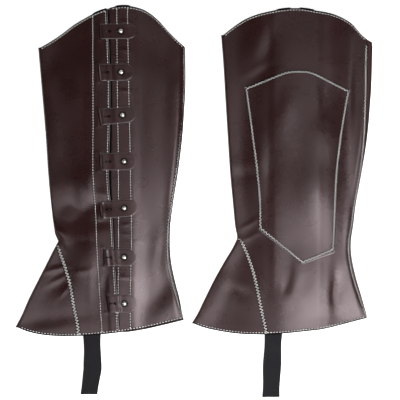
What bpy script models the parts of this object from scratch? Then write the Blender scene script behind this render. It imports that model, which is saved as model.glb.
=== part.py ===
"""A pair of boot covers, cut from thin faux leather and laid flat side by side.

Each cover is a flattened tube with its toe towards -X and its top towards +Y. The left one lies
with its outer side up, so its closure shows. The right one lies with its inner side up, so its
calf patch shows and its closure is underneath. Both are worked out in one leg frame: x runs from
the closure line towards the back seam, y up the leg from the hem, z up from the surface that the
cover lies on. All sizes are in millimetres until a mesh is made.
"""

import math

import bpy
import numpy as np
from mathutils.bvhtree import BVHTree

METRES = 0.001

# What the pieces are cut from
LEATHER = 1.2
FACING = 1.0
ELASTIC = 1.0

# Room between pieces that are sewn or lie together
SEAM_GAP = 0.4
APEX_GAP = 0.8
LAY_GAP = 0.35

# How the flattened tube lies
SLACK = 1.6
FOLD_DEPTH = 2.6
FOLD_LAP = 1.2
FOLD_BULGE = 1.3
FOLD_REACH = 16.0
CROWN = 1.0
CROWN_SPREAD = 2.2
BACK_TAPER = 16.0
FOLD_STEPS = 5
REVEAL_START = 178.0
REVEAL_RUN = 205.0
UNDER_HEM_RUN = 15.0

# Closure: the front edge laps over the back one below the ankle
BAND_RISE = 0.7
BAND_MIDDLE = -8.0
BAND_HALF = 26.0
BAND_FADE = 14.0
LAP_RISE = 1.6
LAP_TOP = 150.0
LAP_FADE = 35.0
LAP_FLAT = 6.0
LAP_RAMP = 12.0
FACING_PROUD = 1.3
BACK_FACING_WIDTH = 19.0
CLOSURE_FLAT = 25.0
CLOSURE_FADE = 38.0

# Stud: a ball on a neck, through a keyhole in the strap
BALL_RADIUS = 3.1
BALL_HEIGHT = 5.0
NECK_RADIUS = 1.2
STUD_SIDES = 10
HOLE_HALF = 1.7
SLIT_HALF = 0.6
SLIT_LENGTH = 5.5
ROOT_CELLS = 3
SEAT_REACH = 6.0
STUD_STACK = BALL_HEIGHT + LEATHER + 3 * LAY_GAP

# Patch and stirrup
PATCH_FADE = 26.0
STIRRUP_WIDTH = 23.5
STIRRUP_TUCK = 18.0
STIRRUP_FALL = 42.0
STIRRUP_GAP = 0.7
STIRRUP_ROOM = 2 * ELASTIC + LAY_GAP + 2 * STIRRUP_GAP
STIRRUP_CLEAR = 14.0
STIRRUP_FADE = 22.0
STIRRUP_REACH = 40.0
STIRRUP_TAPER = 30.0

# Cells between the curves of each panel
ROWS_UP = (6, 10, 4)
BAND_CELLS = (1, 2)
FRONT_CELLS = 5
PATCH_CELLS = (2, 7, 3)
BACK_CELLS = (1, 2, 4)
GUSSET_CELLS = (2, 3)
GUSSET_SPLIT = 0.26
STIRRUP_CELLS = 4
SETTLING_STEPS = 14


def table(columns, *rows):
    """A short table as one array for each named column."""
    return dict(zip(columns.split(), np.array(rows, float).T))


FLAP_EDGE = table(
    "height x",
    (22, 1.7), (61, -1.1), (122, -5.3), (153, -7.2), (207, -12.0),
    (275, -10.7), (329, -10.3), (389, -12.0), (433, -14.3))

BACK_PANEL_EDGE = table(
    "height x",
    (12, -5.5), (61, -5.0), (122, -4.3), (153, -5.6), (207, -9.0),
    (275, -8.0), (329, -7.8), (389, -9.8), (433, -11.3))

FRONT_FACING_EDGE = table(
    "height x",
    (0, -20.8), (54, -24.2), (119, -27.9), (170, -30.0), (208, -32.7), (289, -33.0), (427, -33.5))

BACK_FACING_EDGE = table(
    "height x",
    (0, -2.0), (120, -1.0), (240, -1.3), (330, -2.5), (435, -3.3))

PATCH_SIDES = table(
    "height front back",
    (0, -38.0, 40.0), (35, -46.0, 40.5), (60, -51.0, 41.0), (100, -56.3, 42.3),
    (138, -57.5, 44.3), (183, -58.7, 46.0), (217, -62.0, 48.0),
    (251, -66.3, 52.0), (285, -70.7, 57.0), (327, -76.5, 64.7))

PATCH_FRONT_TOP = 327.3

PATCH_TOP = table(
    "x height",
    (-150, PATCH_FRONT_TOP), (-76.5, PATCH_FRONT_TOP), (-18.7, 350.3), (10.3, 350.3),
    (64.7, 323.0), (120, 323.0))

PATCH_FOOT = table(
    "x height",
    (-57.5, 138.4), (0, 92.7), (42.5, 107.7), (120, 112.0))

STRAPS = table(
    "root tip root_height tip_height width stud",
    (-23.6, 23.9, 406.3, 406.7, 19.8, 4.0),
    (-24.7, 20.7, 351.5, 352.2, 22.0, 4.5),
    (-24.0, 23.9, 292.2, 296.5, 21.0, 6.4),
    (-23.3, 23.9, 233.0, 233.2, 22.6, 8.5),
    (-23.0, 26.1, 168.3, 172.7, 22.6, 8.5),
    (-18.1, 24.3, 105.7, 105.9, 22.8, 8.5),
    (-14.0, 25.3, 44.4, 44.1, 23.0, 8.8))

LEFT = {
    "name": "left",
    "out": 1,
    "place": (-101.7, -180.3),
    "apex": 124.0,
    "under_hem": 1.6,
    "reveal": 0.0,
    "stirrup": table("height x", (-77.3, -38.0), (0, -34.7)),
    "sides": table(
        "height front back",
        (12.7, -136.7, 90.7), (26.7, -129.3, 86.7), (48, -120.0, 82.7), (80, -104.0, 74.7),
        (101, -93.3, 70.7), (118, -84.7, 69.3), (129, -82.7, 69.3), (144, -85.3, 69.5),
        (176, -89.3, 73.3), (219, -93.3, 80.0), (261, -96.0, 85.3), (325, -101.3, 89.3),
        (382, -106.3, 89.3)),
    "top": table(
        "x height",
        (-106.7, 383.3), (-90.7, 392.7), (-74.7, 403.3), (-58.7, 415.3), (-42.7, 424.7),
        (-26.7, 432.7), (-10.7, 438.0), (5.3, 440.7), (21.3, 439.3), (37.3, 434.0),
        (53.3, 422.0), (69.3, 404.7), (85.3, 389.3), (89.3, 386.0)),
    "hem": table(
        "x height",
        (-136, 12.7), (-122.7, 7.3), (-106.7, 3.3), (-82.7, 0.7), (-58.7, 0.7),
        (-18.7, 3.3), (13.3, 7.3), (37.3, 11.3), (61.3, 16.7), (88, 23.3)),
    "gusset": table(
        "height x",
        (4.7, -52.7), (11.3, -53.1), (34, -57.7), (58.7, -61.9), (71.3, -64.3), (84.7, -68.0),
        (98, -71.7), (111, -75.6), (124, -78.6)),
    "folds": table(
        "x height turn length width rise",
        (-58, 182, 8, 36, 15, 1.1),
        (-52, 68, -12, 34, 18, 0.9),
        (30, 205, -70, 60, 18, 0.8),
        (-60, 320, 62, 70, 22, 0.7)),
}

RIGHT = {
    "name": "right",
    "out": -1,
    "place": (143.6, -176.3),
    "apex": 126.0,
    "under_hem": 0.0,
    "reveal": 7.0,
    "stirrup": table("height x", (-85.0, -41.3), (0, -38.3)),
    "sides": table(
        "height front back",
        (14, -146.7, 88.0), (22.7, -141.3, 86.7), (44, -130.7, 81.3), (76, -114.7, 72.0),
        (97, -102.7, 67.3), (117, -91.0, 65.3), (127.5, -86.7, 66.0), (140, -88.7, 68.0),
        (172, -92.0, 72.0), (215, -96.0, 80.0), (257, -98.7, 86.7), (321, -102.7, 92.0),
        (364, -105.3, 93.3), (389, -107.3, 94.0)),
    "top": table(
        "x height",
        (-108, 395.3), (-93.3, 407.3), (-77.3, 418.0), (-61.3, 424.7), (-45.3, 428.7),
        (-21.3, 432.7), (2.7, 432.7), (18.7, 430.0), (34.7, 427.3), (50.7, 422.0),
        (66.7, 412.7), (82.7, 395.3), (93.3, 388.7)),
    "hem": table(
        "x height",
        (-146.7, 14.0), (-133.3, 8.7), (-117.3, 4.7), (-93.3, 0.7), (-21.3, 0.7),
        (2.7, 3.3), (26.7, 6.0), (50.7, 11.3), (66.7, 15.3), (88, 20.7)),
    "gusset": table(
        "height x",
        (0.7, -47.5), (8.7, -49.3), (35, -54.9), (59, -59.6), (73, -62.9), (86, -66.1),
        (97, -69.9), (107, -73.6), (117, -78.0), (126, -82.3)),
    "folds": table(
        "x height turn length width rise",
        (-70, 150, 20, 30, 14, 0.9),
        (-78, 58, -50, 40, 20, 0.8),
        (62, 250, 80, 60, 12, 0.6),
        (-72, 380, 20, 40, 20, 0.7)),
}

MATERIALS = {
    "faux_leather": ((0.045, 0.018, 0.017), 0.36, 0.0),
    "facing_black": ((0.012, 0.011, 0.012), 0.6, 0.0),
    "elastic_black": ((0.018, 0.017, 0.02), 0.85, 0.0),
    "polished_nickel": ((0.72, 0.7, 0.67), 0.18, 1.0),
}


def clear_scene():
    """Remove whatever the file holds."""
    for old in list(bpy.data.objects):
        bpy.data.objects.remove(old, do_unlink=True)


def material(name):
    """The named Principled material, made once."""
    found = bpy.data.materials.get(name)
    if found:
        return found
    colour, roughness, metallic = MATERIALS[name]
    made = bpy.data.materials.new(name)
    made.use_nodes = True
    shader = made.node_tree.nodes["Principled BSDF"]
    shader.inputs["Base Color"].default_value = (*colour, 1.0)
    shader.inputs["Roughness"].default_value = roughness
    shader.inputs["Metallic"].default_value = metallic
    made.diffuse_color = (*colour, 1.0)
    return made


def step(value):
    """Smooth step: 0 below 0, 1 above 1, and flat at both ends."""
    part = np.clip(value, 0.0, 1.0)
    return part * part * (3.0 - 2.0 * part)


def smooth(at, knots, values):
    """A smooth curve through the values at the knots, which runs on straight past each end."""
    slopes = np.gradient(values, knots)
    inside = np.clip(at, knots[0], knots[-1])
    i = np.clip(np.searchsorted(knots, inside) - 1, 0, len(knots) - 2)
    span = knots[i + 1] - knots[i]
    f = (inside - knots[i]) / span
    here = (2 * f**3 - 3 * f**2 + 1) * values[i] + (f**3 - 2 * f**2 + f) * span * slopes[i]
    there = (3 * f**2 - 2 * f**3) * values[i + 1] + (f**3 - f**2) * span * slopes[i + 1]
    past = np.where(at > knots[-1], slopes[-1], slopes[0]) * (at - inside)
    return here + there + past


def curve(rows, column="x", along="height"):
    """A table's column as a smooth function of another column."""
    return lambda at: smooth(np.asarray(at, float), rows[along], rows[column])


def corners(rows):
    """A table's heights as straight runs between its rows."""
    return lambda at: np.interp(at, rows["x"], rows["height"])


def stations(cells):
    """Parameters along a row of blocks, with the given number of cells in each block."""
    parts = [k + np.arange(n) / n for k, n in enumerate(cells)]
    return np.concatenate(parts + [[len(cells)]])


def between(curves, station, at):
    """Value at each station, between the two curves that lie on either side of it."""
    values = np.array([one(at) for one in curves])
    first = np.minimum(station.astype(int), len(curves) - 2)[None]
    low = np.take_along_axis(values, first, 0)[0]
    high = np.take_along_axis(values, first + 1, 0)[0]
    return low + (station - first[0]) * (high - low)


def net(columns, across, rows, up):
    """Plan of a panel: columns are curves x(y), rows are curves y(x), and both hold at each point."""
    station_x, station_y = np.meshgrid(stations(across), stations(up))
    y = np.full(station_x.shape, 200.0)
    for _ in range(SETTLING_STEPS):
        x = between(columns, station_x, y)
        y = between(rows, station_y, x)
    return between(columns, station_x, y), y


class Cover:
    """The curves and heights of one flattened cover, in its leg frame."""

    def __init__(self, sizes):
        self.sizes = sizes
        self.out = sizes["out"]
        self.front = curve(sizes["sides"], "front")
        self.back = curve(sizes["sides"], "back")
        self.top = curve(sizes["top"], "height", "x")
        self.hem = curve(sizes["hem"], "height", "x")
        self.gusset_seam = curve(sizes["gusset"])
        self.flap_edge = curve(FLAP_EDGE)
        self.back_edge = curve(BACK_PANEL_EDGE)
        self.patch_front = curve(PATCH_SIDES, "front")
        self.patch_back = curve(PATCH_SIDES, "back")

    def fold_line(self, y):
        """Where the flat of each side ends and the front fold starts."""
        return self.front(y) + FOLD_DEPTH + LEATHER / 2

    def front_line(self, y):
        """Front edge of the flat body: the gusset seam, and above it a lap short of the fold."""
        return np.where(y < self.sizes["apex"], self.gusset_seam(y), self.fold_line(y) + FOLD_LAP)

    def facing_inner(self, y):
        """Edge of the front facing next to the closure, clear of the back panel's margin."""
        return np.minimum(self.flap_edge(y), self.back_edge(y)) - 1.0

    def inner_back(self, y):
        """Back edge of the inner side, which stops short of the outer one near the top."""
        return self.back(y) - self.sizes["reveal"] * step((y - REVEAL_START) / REVEAL_RUN)

    def under_hem(self, x):
        """Hem of the inner side, which hangs just past the outer one behind the closure."""
        return self.hem(x) - self.sizes["under_hem"] * step(x / UNDER_HEM_RUN)

    def patch_foot(self, x):
        """Row that starts at the gusset's apex and follows the patch's pointed foot."""
        ahead = self.sizes["apex"]
        knots = np.concatenate([[-150.0, self.sizes["gusset"]["x"][-1] + 2.0], PATCH_FOOT["x"]])
        heights = np.concatenate([[ahead, ahead], PATCH_FOOT["height"]])
        return np.interp(x, knots, heights)

    def over_patch(self, x, y):
        """1 where the patch lies, fading to 0 outside it."""
        foot = np.interp(x, PATCH_FOOT["x"], PATCH_FOOT["height"])
        top = np.interp(x, PATCH_TOP["x"], PATCH_TOP["height"])
        inside = (x - self.patch_front(y), self.patch_back(y) - x, y - foot, top - y)
        cover = np.ones_like(x)
        for distance in inside:
            cover = cover * step(1.0 + distance / PATCH_FADE)
        return cover

    def lap(self, y):
        """How far the front edge stands off the back panel where it laps over it."""
        return LAP_RISE * step((LAP_TOP - y) / LAP_FADE)

    def lift(self, x, y):
        """Height that what lies underneath gives the lower side."""
        if self.out > 0:
            return (LEATHER + LAY_GAP) * self.over_patch(x, y)
        hump = step((CLOSURE_FLAT + CLOSURE_FADE - np.abs(x)) / CLOSURE_FADE)
        return (STUD_STACK + self.lap(y)) * hump

    def lower(self, x, y):
        """Middle of the lower side's wall."""
        return LEATHER / 2 + self.lift(x, y)

    def stirrup_middle(self, y):
        """Middle line of the stirrup."""
        return np.interp(y, self.sizes["stirrup"]["height"], self.sizes["stirrup"]["x"])

    def room(self, x, y):
        """Free height between the two sides."""
        ahead = x - self.fold_line(y)
        behind = self.back(y) - x
        wide = self.back(y) - self.front(y)
        room = SEAM_GAP + (SLACK - SEAM_GAP) * step(behind / BACK_TAPER)
        room = room + FOLD_BULGE * np.exp(-(ahead / FOLD_REACH)**2)
        room = room + (CROWN * step(CROWN_SPREAD * ahead / wide)
                       * step(CROWN_SPREAD * behind / wide))
        room = room + BAND_RISE * step((BAND_HALF + BAND_FADE - np.abs(x - BAND_MIDDLE)) / BAND_FADE)
        room = room + self.folds(x, y) * step(behind / BACK_TAPER)
        reach = np.abs(x - self.stirrup_middle(y)) - STIRRUP_WIDTH / 2
        beside = step((STIRRUP_CLEAR + STIRRUP_FADE - reach) / STIRRUP_FADE)
        near = beside * step((self.hem(x) + STIRRUP_REACH + STIRRUP_TAPER - y) / STIRRUP_TAPER)
        return np.maximum(room, room + (STIRRUP_ROOM - room) * near)

    def folds(self, x, y):
        """The soft ridges of the upper side, each a long round hill."""
        rows = self.sizes["folds"]
        rise = np.zeros_like(x)
        for cx, cy, turn, length, width, high in zip(*rows.values()):
            c, s = math.cos(math.radians(turn)), math.sin(math.radians(turn))
            u = (x - cx) * c + (y - cy) * s
            v = (y - cy) * c - (x - cx) * s
            rise = rise + high * np.exp(-(u / length)**2 - (v / width)**2)
        return rise

    def upper(self, x, y):
        """Middle of the upper side's wall."""
        return self.lower(x, y) + LEATHER + self.room(x, y)

    def outer_side(self, x, y):
        """Middle of the outer side's wall."""
        return self.upper(x, y) if self.out > 0 else self.lower(x, y)

    def inner_side(self, x, y):
        """Middle of the inner side's wall."""
        return self.lower(x, y) if self.out > 0 else self.upper(x, y)

    def flap(self, x, y):
        """Outer side in front of the closure, with its edge raised where it laps."""
        edge = step((x - self.flap_edge(y) + LAP_FLAT + LAP_RAMP) / LAP_RAMP)
        return self.outer_side(x, y) + self.out * self.lap(y) * edge

    def place(self, points):
        """Leg frame to the pair's shared frame."""
        return points + np.array([*self.sizes["place"], 0.0])


def solid_points(x, y, z):
    """One grid of points from its three coordinates."""
    return np.stack(np.broadcast_arrays(x, y, z), axis=-1)


def wall(points, thickness, keep=None):
    """Vertices and triangles of a closed wall round a grid of middle points.

    keep says which cells are there. Each kept cell gives two triangles on both faces, and each
    edge that belongs to one kept cell only gives a strip of rim.
    """
    rows, columns = points.shape[:2]
    if keep is None:
        keep = np.ones((rows - 1, columns - 1), bool)
    normal = np.cross(np.gradient(points, axis=0), np.gradient(points, axis=1))
    normal /= np.linalg.norm(normal, axis=2, keepdims=True)
    faces_up = (points + normal * thickness / 2).reshape(-1, 3)
    faces_down = (points - normal * thickness / 2).reshape(-1, 3)
    under = rows * columns
    triangles = []
    edges = {}
    for r, c in zip(*np.nonzero(keep)):
        loop = [r * columns + c, (r + 1) * columns + c, (r + 1) * columns + c + 1, r * columns + c + 1]
        triangles += [(loop[0], loop[1], loop[2]), (loop[0], loop[2], loop[3])]
        triangles += [(under + loop[2], under + loop[1], under + loop[0])]
        triangles += [(under + loop[3], under + loop[2], under + loop[0])]
        for a, b in zip(loop, loop[1:] + loop[:1]):
            edges[a, b] = True
    for a, b in edges:
        if (b, a) not in edges:
            triangles += [(b, a, under + a), (b, under + a, under + b)]
    vertices = np.concatenate([faces_up, faces_down])
    used = sorted({corner for triangle in triangles for corner in triangle})
    renumber = {old: new for new, old in enumerate(used)}
    return vertices[used], [tuple(renumber[i] for i in triangle) for triangle in triangles]


def turned(profile, centre, out):
    """Vertices and triangles of a turned piece, from (radius, height) pairs with a pole at each end."""
    angles = np.arange(STUD_SIDES) * 2 * math.pi / STUD_SIDES
    rings = [(radius, height) for radius, height in profile if radius > 0]
    vertices = [(centre[0], centre[1], profile[0][1])]
    for radius, height in rings:
        vertices += [(centre[0] + radius * math.cos(a), centre[1] + radius * math.sin(a), height)
                     for a in angles]
    vertices.append((centre[0], centre[1], profile[-1][1]))
    last = len(vertices) - 1
    triangles = []
    for i in range(STUD_SIDES):
        j = (i + 1) % STUD_SIDES
        triangles.append((0, 1 + j, 1 + i))
        for k in range(len(rings) - 1):
            a, b = 1 + k * STUD_SIDES + i, 1 + k * STUD_SIDES + j
            triangles += [(a, b, b + STUD_SIDES), (a, b + STUD_SIDES, a + STUD_SIDES)]
        top = 1 + (len(rings) - 1) * STUD_SIDES
        triangles.append((top + i, top + j, last))
    if out < 0:
        triangles = [triangle[::-1] for triangle in triangles]
    return np.array(vertices), triangles


def add(name, cover, shape, slot):
    """Make a named object from a shape in a cover's leg frame."""
    vertices, triangles = shape
    mesh = bpy.data.meshes.new(name)
    mesh.from_pydata((cover.place(vertices) * METRES).tolist(), [], triangles)
    mesh.shade_smooth()
    mesh.set_sharp_from_angle(angle=math.radians(40))
    mesh.materials.append(material(slot))
    piece = bpy.data.objects.new(f"{cover.sizes['name']}_{name}", mesh)
    bpy.context.collection.objects.link(piece)
    return piece


def wrap(cover, outer_plan, inner_plan, outer_height, inner_height):
    """Points from the closure side round the front fold to the inner side.

    The fold is a half ellipse between the heights of the two sides at the fold line.
    """
    x_out, y_out = outer_plan
    x_in, y_in = inner_plan
    z_out = outer_height(x_out, y_out)
    z_in = inner_height(x_in, y_in)
    turn = np.linspace(math.pi / 2, -math.pi / 2, FOLD_STEPS + 2)[1:-1]
    share = (1 - np.sin(turn)) / 2
    start, end = (x_out[:, -1:], y_out[:, -1:], z_out[:, -1:]), (x_in[:, :1], y_in[:, :1], z_in[:, :1])
    x_fold = start[0] - FOLD_DEPTH * np.cos(turn)
    y_fold = start[1] + (end[1] - start[1]) * share
    z_fold = start[2] + (end[2] - start[2]) * share
    return solid_points(np.hstack([x_out, x_fold, x_in]),
                        np.hstack([y_out, y_fold, y_in]),
                        np.hstack([z_out, z_fold, z_in]))


def body(cover):
    """The body: outer front, front fold and whole inner side, cut away over the toe."""
    apex = cover.sizes["apex"]
    outer_columns = (cover.flap_edge, cover.facing_inner, curve(FRONT_FACING_EDGE),
                     cover.front_line, cover.fold_line)
    outer_rows = (cover.hem, lambda x: np.full_like(x, apex),
                  lambda x: np.full_like(x, PATCH_FRONT_TOP), cover.top)
    outer_plan = net(outer_columns, (*BAND_CELLS, FRONT_CELLS, 1), outer_rows, ROWS_UP)
    inner_columns = (cover.fold_line, cover.front_line, cover.patch_front, cover.patch_back,
                     cover.inner_back)
    inner_rows = (cover.under_hem, cover.patch_foot, corners(PATCH_TOP), cover.top)
    inner_plan = net(inner_columns, (1, *PATCH_CELLS), inner_rows, ROWS_UP)
    points = wrap(cover, outer_plan, inner_plan, cover.flap, cover.inner_side)
    keep = np.ones((points.shape[0] - 1, points.shape[1] - 1), bool)
    toe_start = sum(BAND_CELLS) + FRONT_CELLS
    toe_end = toe_start + 1 + FOLD_STEPS + 1 + 1
    keep[:ROWS_UP[0], toe_start:toe_end] = False
    shape = wall(points, LEATHER, keep)
    add("body", cover, shape, "faux_leather")

    facing = points[:, BAND_CELLS[0]:sum(BAND_CELLS) + 1].copy()
    add_facing("front_facing", cover, facing)

    first = toe_end + PATCH_CELLS[0]
    patch = points[ROWS_UP[0]:sum(ROWS_UP[:2]) + 1, first:first + PATCH_CELLS[1] + 1].copy()
    patch[..., 2] -= cover.out * (LEATHER + LAY_GAP)
    add("calf_patch", cover, wall(patch, LEATHER), "faux_leather")
    return shape


def add_facing(name, cover, points):
    """A facing strip, inside the panel that the points come from and just proud at the top."""
    points[..., 2] -= cover.out * (LEATHER / 2 + LAY_GAP + FACING / 2)
    points[-1, :, 1] += FACING_PROUD
    points[0, :, 1] += FACING_PROUD
    add(name, cover, wall(points, FACING), "facing_black")


def back_panel(cover):
    """The outer side behind the closure, up to the back seam."""
    facing_edge = curve(BACK_FACING_EDGE)
    columns = (cover.back_edge, facing_edge, lambda y: facing_edge(y) + BACK_FACING_WIDTH, cover.back)
    plan = net(columns, BACK_CELLS, (cover.hem, cover.top), (sum(ROWS_UP),))
    points = solid_points(*plan, cover.outer_side(*plan))
    shape = wall(points, LEATHER)
    add("back_panel", cover, shape, "faux_leather")
    add_facing("back_facing", cover, points[:, BACK_CELLS[0]:sum(BACK_CELLS[:2]) + 1].copy())
    return shape


def gusset(cover):
    """The toe piece, folded at the front and sewn to the body on both sides."""
    def seam(y):
        return cover.gusset_seam(y) - SEAM_GAP

    def beside(y):
        return seam(y) + GUSSET_SPLIT * (cover.fold_line(y) - seam(y))

    outer_rows = (cover.hem, lambda x: np.full_like(x, cover.sizes["apex"] - APEX_GAP))
    inner_rows = (cover.under_hem, lambda x: cover.patch_foot(x) - APEX_GAP)
    outer_plan = net((seam, beside, cover.fold_line), GUSSET_CELLS, outer_rows, ROWS_UP[:1])
    inner_plan = net((cover.fold_line, beside, seam), GUSSET_CELLS[::-1], inner_rows, ROWS_UP[:1])
    points = wrap(cover, outer_plan, inner_plan, cover.outer_side, cover.inner_side)
    add("toe_gusset", cover, wall(points, LEATHER), "faux_leather")


def seat(tree, x, y, out):
    """Height of the outermost surface near a point, seen from outside the cover."""
    found = []
    for dx in np.linspace(-SEAT_REACH, SEAT_REACH, 7):
        for dy in np.linspace(-SEAT_REACH, SEAT_REACH, 5):
            hit = tree.ray_cast((x + dx, y + dy, out * 100.0), (0, 0, -out))[0]
            if hit:
                found.append(out * hit.z)
    return out * max(found)


def strap_and_stud(cover, tree, number):
    """One closing strap with a rounded tip, and the stud that stands through its keyhole."""
    row = {name: values[number] for name, values in STRAPS.items()}
    half = row["width"] / 2
    arc = row["tip"] - half
    slit = row["stud"] - HOLE_HALF - SLIT_LENGTH
    along = [*np.linspace(row["root"], slit, ROOT_CELLS + 1), slit + SLIT_LENGTH,
             row["stud"] + HOLE_HALF]
    taper = [1.0] * len(along)
    for degrees in (0, 32, 56, 76):
        along.append(arc + half * math.sin(math.radians(degrees)))
        taper.append(math.cos(math.radians(degrees)))
    along, taper = np.array(along), np.array(taper)
    hole = [-half, -HOLE_HALF, -SLIT_HALF, SLIT_HALF, HOLE_HALF, half]
    across = np.array(hole)[:, None] * taper
    share = (along - row["root"]) / (row["tip"] - row["root"])
    middle = row["root_height"] + share * (row["tip_height"] - row["root_height"])
    x = np.broadcast_to(along, across.shape)
    y = middle + across
    ground = [seat(tree, *at, cover.out) for at in zip(x.flat, y.flat)]
    z = np.reshape(ground, x.shape) + cover.out * (LAY_GAP + LEATHER / 2)
    keep = np.ones((len(hole) - 1, len(along) - 1), bool)
    keep[1:4, ROOT_CELLS + 1] = False
    keep[2, ROOT_CELLS] = False
    add(f"strap_{number + 1}", cover, wall(solid_points(x, y, z), LEATHER, keep), "faux_leather")

    at = row["stud"], float(np.interp(row["stud"], along, middle))
    foot = tree.ray_cast((*at, cover.out * 100.0), (0, 0, -cover.out))[0].z + cover.out * LAY_GAP
    brim = (cover.out * z)[1:5, ROOT_CELLS:ROOT_CELLS + 3].max()
    rim = cover.out * (brim + LEATHER / 2 + LAY_GAP)
    ball = [(NECK_RADIUS, foot), (NECK_RADIUS, rim)]
    for degrees in (-42, -12, 20, 55):
        angle = math.radians(degrees)
        ball.append((BALL_RADIUS * math.cos(angle),
                     rim + cover.out * BALL_HEIGHT / 2 * (1 + math.sin(angle))))
    profile = [(0.0, foot), *ball, (0.0, rim + cover.out * BALL_HEIGHT)]
    add(f"stud_{number + 1}", cover, turned(profile, at, cover.out), "polished_nickel")


def stirrup(cover):
    """The elastic stirrup: a flat loop whose two ends are held between the sides at the hem."""
    end = cover.sizes["stirrup"]["height"][0]
    start = float(cover.hem(cover.stirrup_middle(0.0)))
    down = np.array([STIRRUP_TUCK, 6.0, -2.0, -12.0, -22.0, -32.0, -STIRRUP_FALL]) + start
    down = np.append(down, [end + 20.0, end + ELASTIC])[:, None]
    x = cover.stirrup_middle(down) + STIRRUP_WIDTH * np.linspace(-0.5, 0.5, STIRRUP_CELLS + 1)
    held = cover.lower(x, np.maximum(down, start)) + LEATHER / 2 + STIRRUP_GAP
    lower = ELASTIC / 2 + held * step((down - start + STIRRUP_FALL) / (STIRRUP_FALL - 4.0))
    y = np.broadcast_to(down, x.shape)
    gap = ELASTIC + LAY_GAP
    turn = np.radians([-45.0, 0.0, 45.0])[:, None]
    y_fold = y[-1] - gap / 2 * np.cos(turn)
    z_fold = lower[-1] + gap / 2 * (1 + np.sin(turn))
    x_fold = np.broadcast_to(x[-1], y_fold.shape)
    points = solid_points(np.vstack([x, x_fold, x[::-1]]),
                          np.vstack([y, y_fold, y[::-1]]),
                          np.vstack([lower, z_fold, lower[::-1] + gap]))
    add("stirrup", cover, wall(points, ELASTIC), "elastic_black")


def main():
    """Build both covers."""
    clear_scene()
    for sizes in (LEFT, RIGHT):
        cover = Cover(sizes)
        front = body(cover)
        back = back_panel(cover)
        gusset(cover)
        stirrup(cover)
        shift = len(front[0])
        faces = front[1] + [tuple(i + shift for i in triangle) for triangle in back[1]]
        tree = BVHTree.FromPolygons(np.concatenate([front[0], back[0]]).tolist(), faces)
        for number in range(len(STRAPS["root"])):
            strap_and_stud(cover, tree, number)


main()
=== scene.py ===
"""The looks of a pair of flared leather boot covers, laid flat side by side.

Each cover is a flattened tube. The left one shows its outer side, with the studded closure, and the
right one its inner side, with the calf patch. Both are worked out in one leg frame: x runs from the
closure line towards the back seam, y up the leg from the hem, z up from the surface that the cover
lies on. Sizes are in millimetres until a mesh is made. Every soft piece is a thin wall round a grid
of middle points, and each grid comes from the curves that bound the piece and from two heights.
"""

import math

import bpy
import numpy as np
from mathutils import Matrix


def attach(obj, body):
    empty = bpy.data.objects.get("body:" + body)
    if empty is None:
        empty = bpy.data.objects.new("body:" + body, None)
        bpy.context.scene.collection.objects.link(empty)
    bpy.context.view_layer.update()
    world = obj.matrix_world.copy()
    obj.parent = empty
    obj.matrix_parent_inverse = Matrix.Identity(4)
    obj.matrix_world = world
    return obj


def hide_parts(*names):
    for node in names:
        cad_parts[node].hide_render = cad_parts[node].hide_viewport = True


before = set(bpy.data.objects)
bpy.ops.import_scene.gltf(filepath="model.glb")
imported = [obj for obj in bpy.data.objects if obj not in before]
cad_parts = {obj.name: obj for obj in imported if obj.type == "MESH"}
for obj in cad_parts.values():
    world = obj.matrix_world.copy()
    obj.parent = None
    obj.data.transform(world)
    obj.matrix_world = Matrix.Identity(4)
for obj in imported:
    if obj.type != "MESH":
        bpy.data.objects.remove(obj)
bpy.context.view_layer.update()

METRES = 0.001

# What the pieces are cut from
LEATHER = 1.2
FACING = 1.0
ELASTIC = 1.0

# Room between pieces that are sewn or lie together
SEAM_GAP = 0.4
APEX_GAP = 0.5
LAY_GAP = 0.35

# How the flattened tube lies
SLACK = 1.6
FOLD_DEPTH = 2.6
FOLD_LAP = 1.2
FOLD_BULGE = 1.3
FOLD_REACH = 16.0
CROWN = 4.5
RIGHT_CROWN = 5.0
CROWN_SPREAD = 2.2
BACK_TAPER = 10.0
CREASE_TAPER = 10.0
PATCH_SPREAD = 70.0
SPREAD_TAPER = 30.0
TOE_BULGE = 0.3
TOE_RUN = 50.0
FOLD_STEPS = 10
REVEAL_START = 178.0
REVEAL_RUN = 205.0
UNDER_HEM_RUN = 15.0
LEAST_ROOM = 0.3
ROOM_SOFTNESS = 0.15
FAR = 99.0

# Closure: the front edge laps over the back one below the ankle
BAND_RISE = 0.7
BAND_MIDDLE = -8.0
BAND_HALF = 26.0
BAND_FADE = 14.0
LAP_RISE = 1.6
LAP_TOP = 135.0
LAP_FADE = 80.0
LAP_FLAT = 6.0
LAP_RAMP = 12.0
FACING_CLEAR = 1.0
FACING_PROUD = 1.3
FACING_ROWS = 140
BACK_FACING_WIDTH = 19.0
HUMP_START = -100.0
HUMP_FRONT = -12.0
HUMP_BACK = 8.0
HUMP_END = 84.0

# Ball studs. The collar's rows are radius and height above the strap's outer face.
BALL_RADIUS = 3.1
BALL_HEIGHT = 5.0
BALL_ARC = np.radians(np.linspace(-48, 84, 14))
NECK_RADIUS = 1.2
COLLAR = ((NECK_RADIUS, -0.3), (1.9, -0.2), (2.0, 0.1))
STUD_SIDES = 28
STUD_STACK = BALL_HEIGHT + LEATHER + 3 * LAY_GAP

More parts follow.
